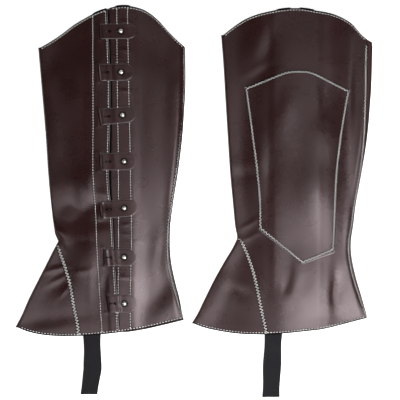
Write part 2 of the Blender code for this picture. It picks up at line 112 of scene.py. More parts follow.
# Straps: keyholes, outline, the painted shade round studs, holes and slits, and how a strap settles
# on what is under it
HOLE_HALF = 1.7
FREE_HOLE_HALF = 0.9
SLIT_HALF = 0.45
SLIT_LENGTH = 5.5
STRAP_CELL = 1.0
TIP_ANGLES = np.radians(np.array([10, 20, 30, 40, 50, 60, 68, 75, 81, 86.0]))
ROOT_CORNER = 3.0
ROOT_DIP = 1.0
SHADE_RING_RADIUS = 3.2
FREE_SHADE_RING = 0.4
SLIT_SHADE = 1.6
SEAT_REACH = 3.0
SEAT_SHARPNESS = 5.0
SEAT_LEVEL = 12.0
BEND_SLANT = 0.12
STRAP_FILL = 0.93

# Patch and stirrup
PATCH_FADE = 40.0
STIRRUP_WIDTH = 23.5
STIRRUP_TUCK = 18.0
STIRRUP_FALL = 42.0
STIRRUP_GAP = 0.5
STIRRUP_ROOM = 2 * ELASTIC + LAY_GAP + 2 * STIRRUP_GAP
STIRRUP_CLEAR = 14.0
STIRRUP_FADE = 44.0
STIRRUP_REACH = 40.0
STIRRUP_TAPER = 30.0
STIRRUP_EASE = 4.0
STIRRUP_TURN = np.radians(np.linspace(-75.0, 75.0, 9))
SWAY = 0.5
SWAY_RUN = 9.0

# Edges of faces that meet at more than this show as sharp
SHARP_ANGLE = math.radians(55.0)

# Cut edges are rounded off over this width
NOSE = 0.6
NOSE_STATIONS = np.array([0.1, 0.35, 1.0])
NOSE_THINNEST = 0.3

# Threads: a six-sided section, and where along a thread it is how thick and how high
THREAD_RADIUS = 0.43
THREAD_SIDES = 6
THREAD_SHARE = np.array([0.0, 0.2, 0.5, 0.8, 1.0])
THREAD_THICK = np.array([0.5, 0.95, 1.0, 0.95, 0.5])
THREAD_RISE = np.array([-0.45, 0.35, 0.6, 0.35, -0.45])
STITCH_PITCH = 3.9
STITCH_SHARE = 0.54
EDGE_PITCH = 3.7

# Where the rows of stitches lie, and the ribbons of painted shade under them and beside the lapped
# edge
HEM_INSET = 2.5
FLAP_INSET = 2.4
BACK_INSET = 1.8
PATCH_INSET = 2.1
SHADE_RIBBON_WIDTH = 2.1
SHADE_RIBBON_SECTION = np.array([0.5, 0.42, -0.42, -0.5])
SHADE_RIBBON_LIFT = np.array([-0.08, 0.09, 0.09, -0.08])
ZIGZAG_MARGIN = 0.9
LAP_SHADOW_WIDTH = 1.7
LAP_SHADOW_SHIFT = 0.8

# Heights from which and to which rows of stitches and the painted lap shadow run
HEM_LEVEL = 5.0
TOP_LEVEL = 430.0
BACK_SEAM_RUN = (24.0, 384.0)
LAP_SHADOW_RUN = (14.0, 118.0)
PATCH_FRONT_RUN = (140.5, 325.8)
PATCH_BACK_RUN = (112.0, 321.5)
PATCH_TIP = 92.7 + 1.25 * PATCH_INSET

# Points along a row of stitches, rows of the back panel, rounds of fitting a panel's grid, and the
# share of a row that a nose takes
DENSE = 400
BACK_ROWS = 260
SETTLING_STEPS = 14
SHARE_OF_ROW = 0.012

# Camera: straight above, with the photo's frame
PHOTO_WIDTH = 533.3
VIEW_CENTRE = (7.6, 1.7)
VIEW_LEVEL = 4.0
CAMERA_HEIGHT = 3000.0
SENSOR = 36.0

# The floor, in metres
FLOOR_HALF = 14.0
FLOOR_LEVEL = -0.0006


def table(columns, *rows):
    """A short table as one array for each named column."""
    return dict(zip(columns.split(), np.array(rows, float).T))


FLAP_EDGE = table(
    "height x",
    (22, 0.6), (61, -1.8), (122, -5.6), (153, -7.2), (207, -12.0),
    (275, -10.7), (329, -10.3), (389, -12.0), (433, -14.3))

BACK_PANEL_EDGE = table(
    "height x",
    (12, -5.5), (61, -5.0), (122, -4.3), (153, -5.6), (207, -9.0),
    (275, -8.0), (329, -7.8), (389, -9.8), (433, -11.3))

FRONT_FACING_EDGE = table(
    "height x",
    (0, -20.8), (54, -24.2), (119, -27.9), (170, -30.0), (208, -32.7), (289, -33.0), (427, -33.5))

BACK_FACING_EDGE = table(
    "height x",
    (0, -2.0), (120, -1.0), (240, -1.3), (330, -2.5), (435, -3.3))

# The row of stitches along the far edge of the back facing
FACING_STITCHES = table(
    "height x",
    (20, 16.5), (70, 16.8), (126, 18.1), (142, 18.1), (203, 16.9), (256, 16.1), (277, 15.7),
    (330, 14.4), (393, 13.3), (435, 12.8))

PATCH_SIDES = table(
    "height front back",
    (0, -38.0, 40.0), (35, -46.0, 40.5), (60, -51.0, 41.0), (100, -56.3, 42.3),
    (138, -57.5, 44.3), (183, -58.7, 46.0), (217, -62.0, 48.0),
    (251, -66.3, 52.0), (285, -70.7, 57.0), (327, -76.5, 64.7))

PATCH_FRONT_TOP = 327.3
PATCH_CROWN_REACH = 7.0

PATCH_TOP = table(
    "x height",
    (-150, PATCH_FRONT_TOP), (-76.5, PATCH_FRONT_TOP), (-18.7, 350.3), (10.3, 350.3),
    (64.7, 323.0), (120, 323.0))

PATCH_FOOT = table(
    "x height",
    (-57.5, 138.4), (0, 92.7), (42.5, 107.7), (120, 112.0))

# How far the back seam's stitches lie inside the edge
SEAM_INSET = table(
    "height inset",
    (20, 1.2), (50, 3.4), (74, 4.2), (99, 3.9), (122, 3.3), (145, 2.8), (179, 2.2), (214, 2.4),
    (288, 2.2), (330, 1.4), (390, 1.3))

STRAPS = table(
    "root tip root_height tip_height width stud free lean",
    (-23.6, 23.9, 406.3, 406.7, 19.8, 4.0, -10.5, 0.5),
    (-24.7, 20.7, 351.5, 352.2, 22.0, 4.5, -13.0, 1.0),
    (-24.0, 23.9, 292.2, 296.5, 21.0, 6.4, -11.5, 1.9),
    (-23.3, 23.9, 233.0, 233.2, 22.6, 8.5, -10.5, 0.3),
    (-23.0, 26.1, 168.3, 172.7, 22.6, 8.5, -9.8, 1.7),
    (-18.1, 24.3, 105.7, 105.9, 22.8, 8.5, -8.6, 0.3),
    (-13.4, 25.3, 44.4, 44.1, 23.0, 8.8, -3.7, 1.5))

# Bends across each strap: the strap's number, where, how wide and how high
STRAP_BENDS = table(
    "strap x width rise",
    (1, -20.0, 4.0, 0.3), (1, 14.0, 8.0, 0.2),
    (2, -21.0, 2.5, 0.9), (2, -12.0, 3.0, 0.3), (2, -2.0, 5.0, 0.6), (2, 14.0, 7.0, 0.3),
    (3, -20.0, 3.0, 0.7), (3, -3.0, 5.0, 0.3),
    (4, -20.0, 3.0, 0.4), (4, -4.0, 5.0, 0.4), (4, 16.0, 6.0, 0.2),
    (5, -20.5, 2.2, 1.2), (5, -8.0, 6.0, 0.3),
    (6, -14.5, 2.2, 1.0), (6, -7.5, 2.5, 0.6), (6, -1.0, 3.0, 0.6),
    (7, -9.0, 3.5, 0.5), (7, 1.0, 2.5, 0.7), (7, 14.0, 7.0, 0.3))

# Slots that the straps come through, with the lips beside them, the puckers at their ends and the
# painted shade in them
SLOT_LIP = 0.3
SLOT_LIP_WIDTH = 1.8
SLOT_LIP_SHIFT = 2.0
SLOT_SHIFT = 0.7
SLOT_WIDTH = 2.0
SLOT_PAST = 1.4

# Zigzag seams: a row for each, in the order gusset, back seam, patch
ZIGZAGS = table(
    "pitch width radius",
    (2.1, 4.9, 0.24), (2.3, 3.0, 0.22), (2.3, 3.3, 0.24))

# Each piece's flat width and length in metres, its flat areas left and right, and how it is held
SHEETS = {
    "body": (0.29, 0.44, 0.1021, 0.1049, "folded"),
    "back_panel": (0.1, 0.43, 0.0366, 0.0369, "laid"),
    "toe_gusset": (0.18, 0.125, 0.0115, 0.0141, "folded"),
    "calf_patch": (0.142, 0.258, 0.0268, 0.0271, "laid"),
    "front_facing": (0.022, 0.43, 0.0087, 0.0087, "laid"),
    "back_facing": (0.02, 0.43, 0.0082, 0.0081, "laid"),
    "stirrup": (0.0235, 0.2, 0.0046, 0.0049, "folded"),
}

# Soft lights, in metres and watts
LIGHTS = table(
    "x y z wide high power",
    (0.44, -0.3, 0.85, 0.42, 0.6, 9.5),
    (0.08, -0.44, 0.85, 0.4, 0.4, 1.7),
    (-0.3, -0.37, 0.85, 0.5, 0.3, 1.6),
    (0.32, -0.1, 3.3, 0.76, 0.9, 4.6),
    (-1.2, 0.1, 0.45, 0.4, 0.4, 1.8),
    (-0.1, 1.2, 0.6, 0.35, 0.35, 3.0),
    (0.9, -1.1, 1.3, 0.5, 0.5, 20.0))

# The two covers. cells counts the grid cells in each block of a panel.

LEFT = {
    "name": "left",
    "out": 1,
    "place": (-101.7, -180.3),
    "apex": 120.5,
    "under_hem": 1.6,
    "reveal": 0.0,
    "stirrup": table(
        "height x",
        (-77.3, -38.9), (-60, -36.4), (-44, -34.0), (-20, -34.2), (0, -34.8)),
    "sides": table(
        "height front back",
        (12.7, -136.7, 90.7), (26.7, -129.3, 86.7), (48, -120.0, 82.7), (80, -104.0, 74.7),
        (101, -93.3, 70.7), (118, -84.7, 69.3), (123, -82.0, 69.2), (127, -80.0, 69.2),
        (131, -81.6, 69.2), (136, -83.8, 69.3), (144, -85.3, 69.5),
        (176, -89.3, 73.3), (219, -93.3, 80.0), (261, -96.0, 85.3), (325, -101.3, 89.3),
        (382, -106.3, 89.3)),
    "top": table(
        "x height",
        (-106.7, 383.3), (-90.7, 392.7), (-74.7, 403.3), (-58.7, 415.3), (-42.7, 424.7),
        (-26.7, 432.7), (-10.7, 438.0), (5.3, 440.7), (21.3, 439.3), (37.3, 434.0),
        (53.3, 422.0), (69.3, 404.7), (85.3, 389.3), (89.3, 386.0)),
    "hem": table(
        "x height",
        (-136, 12.7), (-122.7, 7.3), (-106.7, 3.3), (-82.7, 0.7), (-58.7, 0.7),
        (-18.7, 3.3), (13.3, 7.3), (37.3, 11.3), (61.3, 16.7), (88, 23.3)),
    "gusset": table(
        "height x",
        (4.7, -52.7), (11.3, -53.1), (34, -57.7), (58.7, -61.9), (71.3, -64.3), (84.7, -68.3),
        (98, -72.3), (108, -76.0), (116, -78.6), (121, -79.2)),
    "creases": table(
        "x height turn length width bend rise roll",
        (31, 92, 90, 92, 12, 0, 0, 1.2),
        (26, 275, 90, 100, 9, 3, 0, 0.6),
        (46, 320, 90, 110, 24, 0, 0, -3.6),
        (72, 290, 90, 110, 20, 0, 0, -3.6),
        (-60, 320, 62, 70, 22, 0, 0.6, 0),
        (-52, 165, 6, 42, 20, 0, -3.6, 0),
        (-37, 190, 88, 24, 14, 0, 0, 3.2),
        (-23, 157, 0, 14, 9, 0, 0, 2.0),
        (-28, 184, 0, 14, 11, 0, 0, 1.3),
        (-50, 208, 3, 40, 16, -4, 1.1, 0),
        (-34, 82, 82, 46, 24, 0, 0, 4.2),
        (-92, 16, 8, 50, 12, 0, 0, -1.2),
        (-78, 131, -52, 12, 3.2, 0, -1.1, 0),
        (-77, 139, -30, 13, 5, 0, 0.9, 0.2),
        (-82, 89, 14, 14, 4, 0, 1.0, 0.4),
        (-80, 75, 30, 14, 4, 0, 0.8, 0.2),
        (-71, 60, 50, 10, 3.5, 0, 0.7, 0.2),
        (-45, 87, 8, 12, 4.5, 1, 0.5, 0),
        (-88, 72, 60, 18, 12, 0, 0, 1.0),
        (64, 50, 50, 34, 18, 0, 0, -2.2),
        (64, 130, 90, 60, 18, 0, 0, -2.0),
        (72, 160, 90, 44, 12, 0, 0, -2.6),
        (56, 118, 78, 30, 9, 0, 0, 0.7),
        (-10, 46, 2, 90, 26, 0, 0.2, 0),
        (-20, 186, 0, 8, 7, 0, 0.5, 0.6),
        (-18, 84, 78, 20, 5, 0, 0.3, 0.6),
        (11, 419, -14, 7, 2.2, 0, 0.4, 0),
        (10, 381, -16, 7, 2.4, 0, 0.5, 0),
        (12, 345, 12, 6, 2.2, 0, 0.4, 0),
        (10, 327, -10, 7, 2.4, 0, 0.5, 0),
        (11, 149, 8, 6, 2.2, 0, 0.5, 0),
        (10, 136, -12, 7, 2.4, 0, 0.4, 0),
        (9, 79, -8, 8, 2.6, 0, 0.6, 0)),
    "cells": {"outer": (4, 14, 32, 2), "inner": (1, 8, 24, 6), "gusset": (34,), "back": (4, 13, 46),
              "patch": (40, 70)},
}

RIGHT = {
    "name": "right",
    "out": -1,
    "place": (143.6, -176.3),
    "apex": 126.0,
    "under_hem": 0.0,
    "reveal": 7.0,
    "stirrup": table("height x", (-85.0, -41.3), (0, -38.3)),
    "sides": table(
        "height front back",
        (14, -146.7, 88.0), (22.7, -141.3, 86.7), (44, -130.7, 81.3), (76, -114.7, 72.0),
        (97, -102.7, 67.3), (117, -91.0, 65.3), (127.5, -86.7, 66.0), (140, -88.7, 68.0),
        (172, -92.0, 72.0), (215, -96.0, 80.0), (257, -98.7, 86.7), (321, -102.7, 92.0),
        (364, -105.3, 93.3), (389, -107.3, 94.0)),
    "top": table(
        "x height",
        (-108, 395.3), (-93.3, 407.3), (-77.3, 418.0), (-61.3, 424.7), (-45.3, 428.7),
        (-21.3, 432.7), (2.7, 432.7), (18.7, 430.0), (34.7, 427.3), (50.7, 422.0),
        (66.7, 412.7), (82.7, 395.3), (93.3, 388.7)),
    "hem": table(
        "x height",
        (-146.7, 14.0), (-133.3, 8.7), (-117.3, 4.7), (-93.3, 0.7), (-21.3, 0.7),
        (2.7, 3.3), (26.7, 6.0), (50.7, 11.3), (66.7, 15.3), (88, 20.7)),
    "gusset": table(
        "height x",
        (0.7, -47.5), (8.7, -49.3), (35, -54.9), (59, -59.6), (73, -62.9), (86, -66.1),
        (97, -69.9), (107, -73.6), (117, -78.0), (126, -82.3)),
    "creases": table(
        "x height turn length width bend rise roll",
        (16, 192, 0, 28, 40, 0, 2.6, 0),
        (-43, 292, 90, 40, 16, 0, 0, -1.0),
        (34, 285, 0, 26, 40, 0, 0, -2.6),
        (44, 55, 88, 28, 7, 0, -1.8, 0),
        (20, 58, 0, 70, 30, 0, 0.2, 0),
        (10, 14, 2, 80, 14, 0, 0, -0.7),
        (-25, 60, 80, 20, 6, 0, 0, 0.7),
        (-86, 61, -20, 18, 10, 0, 0, 0.9),
        (-116, 62, 62, 56, 14, 0, 0, -1.1),
        (-18, 60, 80, 40, 12, 0, 0, -1.4),
        (58, 60, 84, 44, 16, 0, 0, -2.0),
        (-68, 146, 32, 18, 4, 1, 0.4, 0.2),
        (-60, 133, 24, 14, 3, 0, 0.3, 0.1),
        (-74, 126, 10, 10, 3, 0, 0.25, 0),
        (-78, 218, 3, 22, 12, 0, 0, 0.9),
        (-54, 352, 30, 22, 8, 0, 0, 0.8),
        (-70, 352, 84, 50, 20, 0, 0, 1.6),
        (-50, 382, 72, 34, 16, 0, 0, 2.2),
        (-27, 306, 80, 28, 16, 0, 0, -1.8),
        (-49, 226, 86, 50, 15, 0, 0, 2.0),
        (63, 140, 88, 36, 5, 0, 0.4, 0.4),
        (67, 325, 88, 60, 7, 0, 0, -0.9),
        (72, 275, 90, 110, 22, 0, 0, -4.4),
        (54, 96, 62, 26, 6, 0, 0.5, -0.4)),
    "cells": {"outer": (2, 8, 14, 1), "inner": (2, 26, 80, 18), "gusset": (34,), "back": (2, 8, 30),
              "patch": (80, 130)},
}

ROWS_UP = (76, 124, 62)


def step(value):
    """Smooth step: 0 below 0, 1 above 1, flat and without curvature at both ends."""
    part = np.clip(value, 0.0, 1.0)
    return part**3 * (part * (6.0 * part - 15.0) + 10.0)


def smooth(at, knots, values):
    """A smooth curve through the values at the knots, which runs on straight past each end."""
    slopes = np.gradient(values, knots)
    inside = np.clip(at, knots[0], knots[-1])
    i = np.clip(np.searchsorted(knots, inside) - 1, 0, len(knots) - 2)
    span = knots[i + 1] - knots[i]
    f = (inside - knots[i]) / span
    here = (2 * f**3 - 3 * f**2 + 1) * values[i] + (f**3 - 2 * f**2 + f) * span * slopes[i]
    there = (3 * f**2 - 2 * f**3) * values[i + 1] + (f**3 - f**2) * span * slopes[i + 1]
    past = np.where(at > knots[-1], slopes[-1], slopes[0]) * (at - inside)
    return here + there + past


def curve(rows, column="x", along="height"):
    """A table's column as a smooth function of another column."""
    return lambda at: smooth(np.asarray(at, float), rows[along], rows[column])


def corners(rows, reach=0.0):
    """A table's heights as straight runs between its rows, their corners rounded off over reach."""
    shifts = reach * np.linspace(-1.0, 1.0, 7)
    x, height = rows["x"], rows["height"]
    return lambda at: np.mean([np.interp(at + shift, x, height) for shift in shifts], axis=0)


def stations(cells, first=0.0, last=0.0):
    """Parameters along a row of blocks, with the given number of cells in each block.

    first and last are shares of the end blocks, where a cut edge gets closer lines for its nose.
    """
    parts = [k + np.arange(n) / n for k, n in enumerate(cells)]
    ends = [first * NOSE_STATIONS, len(cells) - last * NOSE_STATIONS]
    return np.unique(np.concatenate(parts + [[len(cells)]] + ends))


def between(curves, station, at):
    """Value at each station, between the two curves that lie on either side of it."""
    values = np.array([one(at) for one in curves])
    first = np.minimum(station.astype(int), len(curves) - 2)[None]
    low = np.take_along_axis(values, first, 0)[0]
    high = np.take_along_axis(values, first + 1, 0)[0]
    return low + (station - first[0]) * (high - low)


def net(columns, across, rows, up):
    """Plan of a panel: columns are curves x(y), rows curves y(x), and both hold at each point."""
    station_x, station_y = np.meshgrid(across, up)
    y = np.full(station_x.shape, 200.0)
    for _ in range(SETTLING_STEPS):
        x = between(columns, station_x, y)
        y = between(rows, station_y, x)
    return between(columns, station_x, y), y


def hills(rows, x, y):
    """Sum of long soft hills and rolls.

    Along its own line a row fades as a bell curve of its length, and across it as one of its width.
    rise lifts the middle, and roll lifts one side and lowers the other. bend curves the line.
    """
    total = np.zeros_like(x)
    for cx, cy, turn, length, width, bend, rise, roll in zip(*rows.values()):
        c, s = math.cos(math.radians(turn)), math.sin(math.radians(turn))
        u = ((x - cx) * c + (y - cy) * s) / length
        v = ((y - cy) * c - (x - cx) * s) / width - bend / width * u**2
        total = total + (rise + roll * v) * np.exp(-u**2 - v**2)
    return total


class Cover:
    """The curves and heights of one flattened cover, in its leg frame."""

    def __init__(self, sizes):
        self.sizes = sizes
        self.name = sizes["name"]
        self.out = sizes["out"]
        self.apex = sizes["apex"]
        self.front = curve(sizes["sides"], "front")
        self.back = curve(sizes["sides"], "back")
        self.top = curve(sizes["top"], "height", "x")
        self.hem = curve(sizes["hem"], "height", "x")
        self.gusset_seam = curve(sizes["gusset"])
        self.flap_edge = curve(FLAP_EDGE)
        self.back_edge = curve(BACK_PANEL_EDGE)
        self.patch_front = curve(PATCH_SIDES, "front")
        self.patch_back = curve(PATCH_SIDES, "back")

    def fold_line(self, y):
        """Where the flat of each side ends and the front fold starts."""
        return self.front(y) + FOLD_DEPTH + LEATHER / 2

    def front_line(self, y):
        """Front edge of the flat body: the gusset seam, and above it a lap short of the fold."""
        return np.where(y < self.apex, self.gusset_seam(y), self.fold_line(y) + FOLD_LAP)

    def facing_inner(self, y):
        """Edge of the front facing next to the closure, clear of the back panel's margin."""
        return np.minimum(self.flap_edge(y), self.back_edge(y)) - FACING_CLEAR

    def inner_back(self, y):
        """Back edge of the inner side, which stops short of the outer one near the top."""
        return self.back(y) - self.sizes["reveal"] * step((y - REVEAL_START) / REVEAL_RUN)

    def under_hem(self, x):
        """Hem of the inner side, which hangs just past the outer one behind the closure."""
        return self.hem(x) - self.sizes["under_hem"] * step(x / UNDER_HEM_RUN)

    def patch_foot(self, x):
        """Row that starts at the gusset's apex and follows the patch's pointed foot."""
        knots = [-150.0, self.sizes["gusset"]["x"][-1] + 2.0, *PATCH_FOOT["x"]]
        return np.interp(x, knots, [self.apex, self.apex, *PATCH_FOOT["height"]])

    def over_patch(self, x, y, fade=PATCH_FADE):
        """1 where the patch lies, fading to 0 outside it."""
        foot = np.interp(x, PATCH_FOOT["x"], PATCH_FOOT["height"])
        top = np.interp(x, PATCH_TOP["x"], PATCH_TOP["height"])
        inside = (x - self.patch_front(y), self.patch_back(y) - x, y - foot, top - y)
        cover = np.ones_like(x)
        for distance in inside:
            cover = cover * step(1.0 + distance / fade)
        return cover

    def lap(self, y):
        """How far the front edge stands off the back panel where it laps over it."""
        return LAP_RISE * step((LAP_TOP - y) / LAP_FADE)

    def lift(self, x, y):
        """Height that what lies underneath gives the lower side."""
        if self.out > 0:
            return (LEATHER + LAY_GAP) * self.over_patch(x, y)
        return (STUD_STACK + self.lap(y)) * self.hump(x)

    def hump(self, x):
        """1 over the closure, falling gently to 0 towards the fold and the back seam."""
        return (step((x - HUMP_START) / (HUMP_FRONT - HUMP_START))
                * step((HUMP_END - x) / (HUMP_END - HUMP_BACK)))

    def lower(self, x, y):
        """Middle of the lower side's wall."""
        return LEATHER / 2 + self.lift(x, y)

    def stirrup_middle(self, y):
        """Middle line of the stirrup."""
        return np.interp(y, self.sizes["stirrup"]["height"], self.sizes["stirrup"]["x"])

    def room(self, x, y):
        """Free height between the two sides, with the upper side's creases."""
        ahead = x - self.fold_line(y)
        behind = self.back(y) - x
        wide = self.back(y) - self.front(y)
        room = SEAM_GAP + (SLACK - SEAM_GAP) * step(behind / BACK_TAPER)
        above_toe = step((y - self.apex + TOE_RUN) / TOE_RUN)
        bulge = FOLD_BULGE * (TOE_BULGE + (1.0 - TOE_BULGE) * above_toe)
        room = room + bulge * np.exp(-(ahead / FOLD_REACH)**2)
        crown = CROWN if self.out > 0 else RIGHT_CROWN * (1.0 - self.hump(x))
        room = room + crown * step(CROWN_SPREAD * ahead / wide) * step(CROWN_SPREAD * behind / wide)
        band = step((BAND_HALF + BAND_FADE - np.abs(x - BAND_MIDDLE)) / BAND_FADE)
        room = room + BAND_RISE * band
        room = room + hills(self.sizes["creases"], x, y) * step(behind / CREASE_TAPER)
        if self.out > 0:
            spread = self.over_patch(x, y, PATCH_SPREAD) - self.over_patch(x, y)
            ends = step(ahead / SPREAD_TAPER) * step(behind / SPREAD_TAPER)
            room = room + (LEATHER + LAY_GAP) * spread * ends
        reach = np.abs(x - self.stirrup_middle(y)) - STIRRUP_WIDTH / 2
        beside = step((STIRRUP_CLEAR + STIRRUP_FADE - reach) / STIRRUP_FADE)
        near = beside * step((self.hem(x) + STIRRUP_REACH + STIRRUP_TAPER - y) / STIRRUP_TAPER)
        room = np.maximum(room, room + (STIRRUP_ROOM - room) * near)
        least = LEAST_ROOM + (FACING + 2 * LAY_GAP) * band
        return least + ROOM_SOFTNESS * np.logaddexp((room - least) / ROOM_SOFTNESS, 0.0)

    def upper(self, x, y):
        """Middle of the upper side's wall."""
        return self.lower(x, y) + LEATHER + self.room(x, y)

    def outer_side(self, x, y):
        """Middle of the outer side's wall."""
        return self.upper(x, y) if self.out > 0 else self.lower(x, y)

    def inner_side(self, x, y):
        """Middle of the inner side's wall."""
        return self.lower(x, y) if self.out > 0 else self.upper(x, y)

    def flap(self, x, y):
        """Outer side in front of the closure, with its edge raised where it laps."""
        edge = step((x - self.flap_edge(y) + LAP_FLAT + LAP_RAMP) / LAP_RAMP)
        return self.outer_side(x, y) + self.out * (self.lap(y) * edge + self.slot_lips(x, y))

    def slot_lips(self, x, y):
        """Low ridge beside each slot: a bell curve across, and a pucker at each end of the slot."""
        total = np.zeros_like(x)
        for root, height, width in zip(STRAPS["root"], STRAPS["root_height"], STRAPS["width"]):
            off = (x - root + SLOT_LIP_SHIFT) / SLOT_LIP_WIDTH
            ends = (np.abs(y - height) - width / 2) / SLOT_LIP_WIDTH
            total = total + SLOT_LIP * np.exp(-off**2) * step((2.0 - ends) / 2.0)
            total = total + SLOT_LIP * np.exp(-(off / 2.0)**2 - (ends - 1.0)**2)
        return total

    def patch(self, x, y):
        """Middle of the calf patch's wall, which lies on the inner side."""
        return self.inner_side(x, y) - self.out * (LEATHER + LAY_GAP)

    def ground(self, x, y):
        """Outermost face of the outer side, counted along out, or far below in the gap."""
        front = np.where(x < self.flap_edge(y), self.out * self.flap(x, y), -FAR)
        back = np.where(x > self.back_edge(y), self.out * self.outer_side(x, y), -FAR)
        return np.maximum(front, back) + LEATHER / 2

    def place(self, points):
        """Leg frame to the pair's shared frame."""
        return points + np.array([*self.sizes["place"], 0.0])


class Wire:
    """One output socket of a material. Arithmetic with numbers and other wires adds Math nodes."""

    def __init__(self, finish, socket):
        self.finish = finish
        self.socket = socket

    def math(self, operation, first, second):
        return self.finish.node("ShaderNodeMath", {"operation": operation}, {0: first, 1: second})

    def __add__(self, other):
        return self.math("ADD", self, other)

    def __sub__(self, other):
        return self.math("SUBTRACT", self, other)

    def __rsub__(self, other):
        return self.math("SUBTRACT", other, self)

    def __mul__(self, other):
        return self.math("MULTIPLY", self, other)

    __radd__ = __add__
    __rmul__ = __mul__


class Finish:
    """A material while it is being made: its nodes, its links and its Principled shader."""

    def __init__(self, name, **constants):
        self.material = bpy.data.materials.new(name)
        self.material.use_nodes = True
        self.nodes = self.material.node_tree.nodes
        self.links = self.material.node_tree.links
        self.shader = self.nodes["Principled BSDF"]
        self.set(**constants)

    def set(self, **values):
        """Feeds sockets of the shader, each named with _ for a space."""
        for name, value in values.items():
            self.feed(self.shader.inputs[name.replace("_", " ")], value)

    def feed(self, socket, value):
        """Links a wire to a socket, or sets the socket to a plain value."""
        if isinstance(value, Wire):
            self.links.new(value.socket, socket)
        else:
            socket.default_value = value

    def node(self, kind, settings, inputs, output=0):
        """Any node, from its type, its settings and the values or wires of its sockets."""
        made = self.nodes.new(kind)
        for name, value in settings.items():
            setattr(made, name, value)
        for name, value in inputs.items():
            self.feed(made.inputs[name], value)
        return Wire(self, made.outputs[output])

    def place(self):
        """Object coordinates, in metres."""
        return self.node("ShaderNodeTexCoord", {}, {}, "Object")

    def noise(self, size, detail=2.0, distortion=0.0):
        """Noise whose lumps are about size millimetres across, from 0 to 1."""
        return self.node("ShaderNodeTexNoise", {}, {
            "Vector": self.place(), "Scale": 1.0 / (size * METRES), "Detail": detail,
            "Distortion": distortion})

    def pebbles(self, size):
        """Distance to the nearest of scattered points size millimetres apart."""
        return self.node("ShaderNodeTexVoronoi", {"feature": "SMOOTH_F1"}, {
            "Vector": self.place(), "Scale": 1.0 / (size * METRES), "Smoothness": 0.4})

    def attribute(self, name):
        """A number that the mesh carries."""
        return self.node("ShaderNodeAttribute", {"attribute_name": name}, {}, "Fac")

    def fade(self, value, start, end, low=0.0, high=1.0):
        """low up to start, high from end on, and a smooth step between them."""
        return self.node("ShaderNodeMapRange", {"interpolation_type": "SMOOTHSTEP"}, {
            "Value": value, "From Min": start, "From Max": end, "To Min": low, "To Max": high})

    def mix(self, share, first, second):
        """Colour between two colours."""
        return self.node("ShaderNodeMix", {"data_type": "RGBA"}, {0: share, 6: first, 7: second}, 2)

    def blacken(self, share):
        """Lays a dull black over the first shader, by a share."""
        first = Wire(self, self.shader.outputs[0])
        black = self.node("ShaderNodeBsdfDiffuse", {}, {"Color": (0.002, 0.0015, 0.002, 1)})
        both = self.node("ShaderNodeMixShader", {}, {0: share, 1: first, 2: black})
        self.feed(self.nodes["Material Output"].inputs["Surface"], both)

    def bump(self, height, millimetres, strength=1.0):
        """Sends a height from 0 to 1 to the shader's normal."""
        self.set(Normal=self.node("ShaderNodeBump", {}, {
            "Height": height, "Distance": millimetres * METRES, "Strength": strength}))


def leather_finish():
    """Dark-brown faux leather: fine pebbled grain, soft crinkles, and pale raw cut edges."""
    finish = Finish("brown_leather", Specular_Tint=(1.0, 0.86, 0.9, 1.0))
    tone = finish.noise(34.0, 3.0)
    speck = finish.noise(0.9, 2.0)
    base = finish.mix(finish.fade(tone, 0.35, 0.68), (0.0105, 0.0018, 0.0015, 1),
                      (0.0145, 0.003, 0.0028, 1))
    base = finish.mix(finish.fade(speck, 0.5, 0.75, 0.0, 0.35), base, (0.035, 0.014, 0.013, 1))
    raw = finish.fade(finish.attribute("raw") + finish.noise(1.4) * 0.4, 0.6, 1.0, 0.85, 0.0)
    # Dull black close to turned edges, and painted shade round the studs, free holes and slits of
    # the straps.
    finish.blacken(finish.fade(finish.attribute("turned"), 0.9, 1.9, 0.95, 0.0))
    rough = finish.fade(finish.noise(26.0, 3.0), 0.3, 0.7, 0.26, 0.3)
    rough = rough + finish.fade(speck, 0.4, 0.8, 0.0, 0.05) + raw * 0.3
    finish.set(Base_Color=finish.mix(raw, base, (0.24, 0.235, 0.25, 1)), Roughness=rough)
    grain = finish.pebbles(1.5) * 0.6 + finish.noise(0.6, 3.0) * 0.4
    crinkle = finish.noise(12.0, 2.0, 0.3) * 0.6
    finish.bump(grain + crinkle, 0.2, 0.65)
    return finish.material


def backing_finish():
    """The leather's black knitted back and the facings, with leather turned in at the edges."""
    finish = Finish("black_backing", Specular_IOR_Level=0.15)
    fuzz = finish.noise(0.7, 3.0)
    base = finish.mix(fuzz, (0.004, 0.004, 0.005, 1), (0.014, 0.014, 0.016, 1))
    turned = finish.attribute("turned")
    hollow = finish.fade(turned, 1.0, 1.6) * finish.fade(turned, 2.2, 2.8, 1.0, 0.0)
    turned_in = finish.fade(turned, 5.2, 5.8, 1.0, 0.0) * (1.0 - hollow)
    finish.set(Base_Color=finish.mix(turned_in, base, (0.036, 0.0125, 0.013, 1)),
               Roughness=finish.fade(fuzz, 0.3, 0.7, 0.75, 0.9) - turned_in * 0.35)
    finish.bump(fuzz, 0.15)
    return finish.material


def elastic_finish():
    """Charcoal woven elastic: ribs along its length, crossed by fine threads, from its own map."""
    finish = Finish("charcoal_elastic", Specular_IOR_Level=0.2)
    spot = finish.node("ShaderNodeTexCoord", {}, {}, "UV")
    ribs = finish.node("ShaderNodeTexWave", {"bands_direction": "X"}, {
        "Vector": spot, "Scale": 0.26, "Distortion": 0.4, "Detail Scale": 2.0})
    threads = finish.node("ShaderNodeTexWave", {"bands_direction": "Y"}, {
        "Vector": spot, "Scale": 0.4, "Distortion": 0.6, "Detail Scale": 3.0})
    weave = ribs * 0.6 + threads * 0.4
    fuzz = finish.noise(0.8, 3.0)
    base = finish.mix(weave * fuzz * 1.6, (0.003, 0.0025, 0.0035, 1), (0.013, 0.012, 0.016, 1))
    finish.set(Base_Color=base, Roughness=finish.fade(fuzz, 0.3, 0.7, 0.7, 0.9))
    finish.bump(weave, 0.3)
    return finish.material


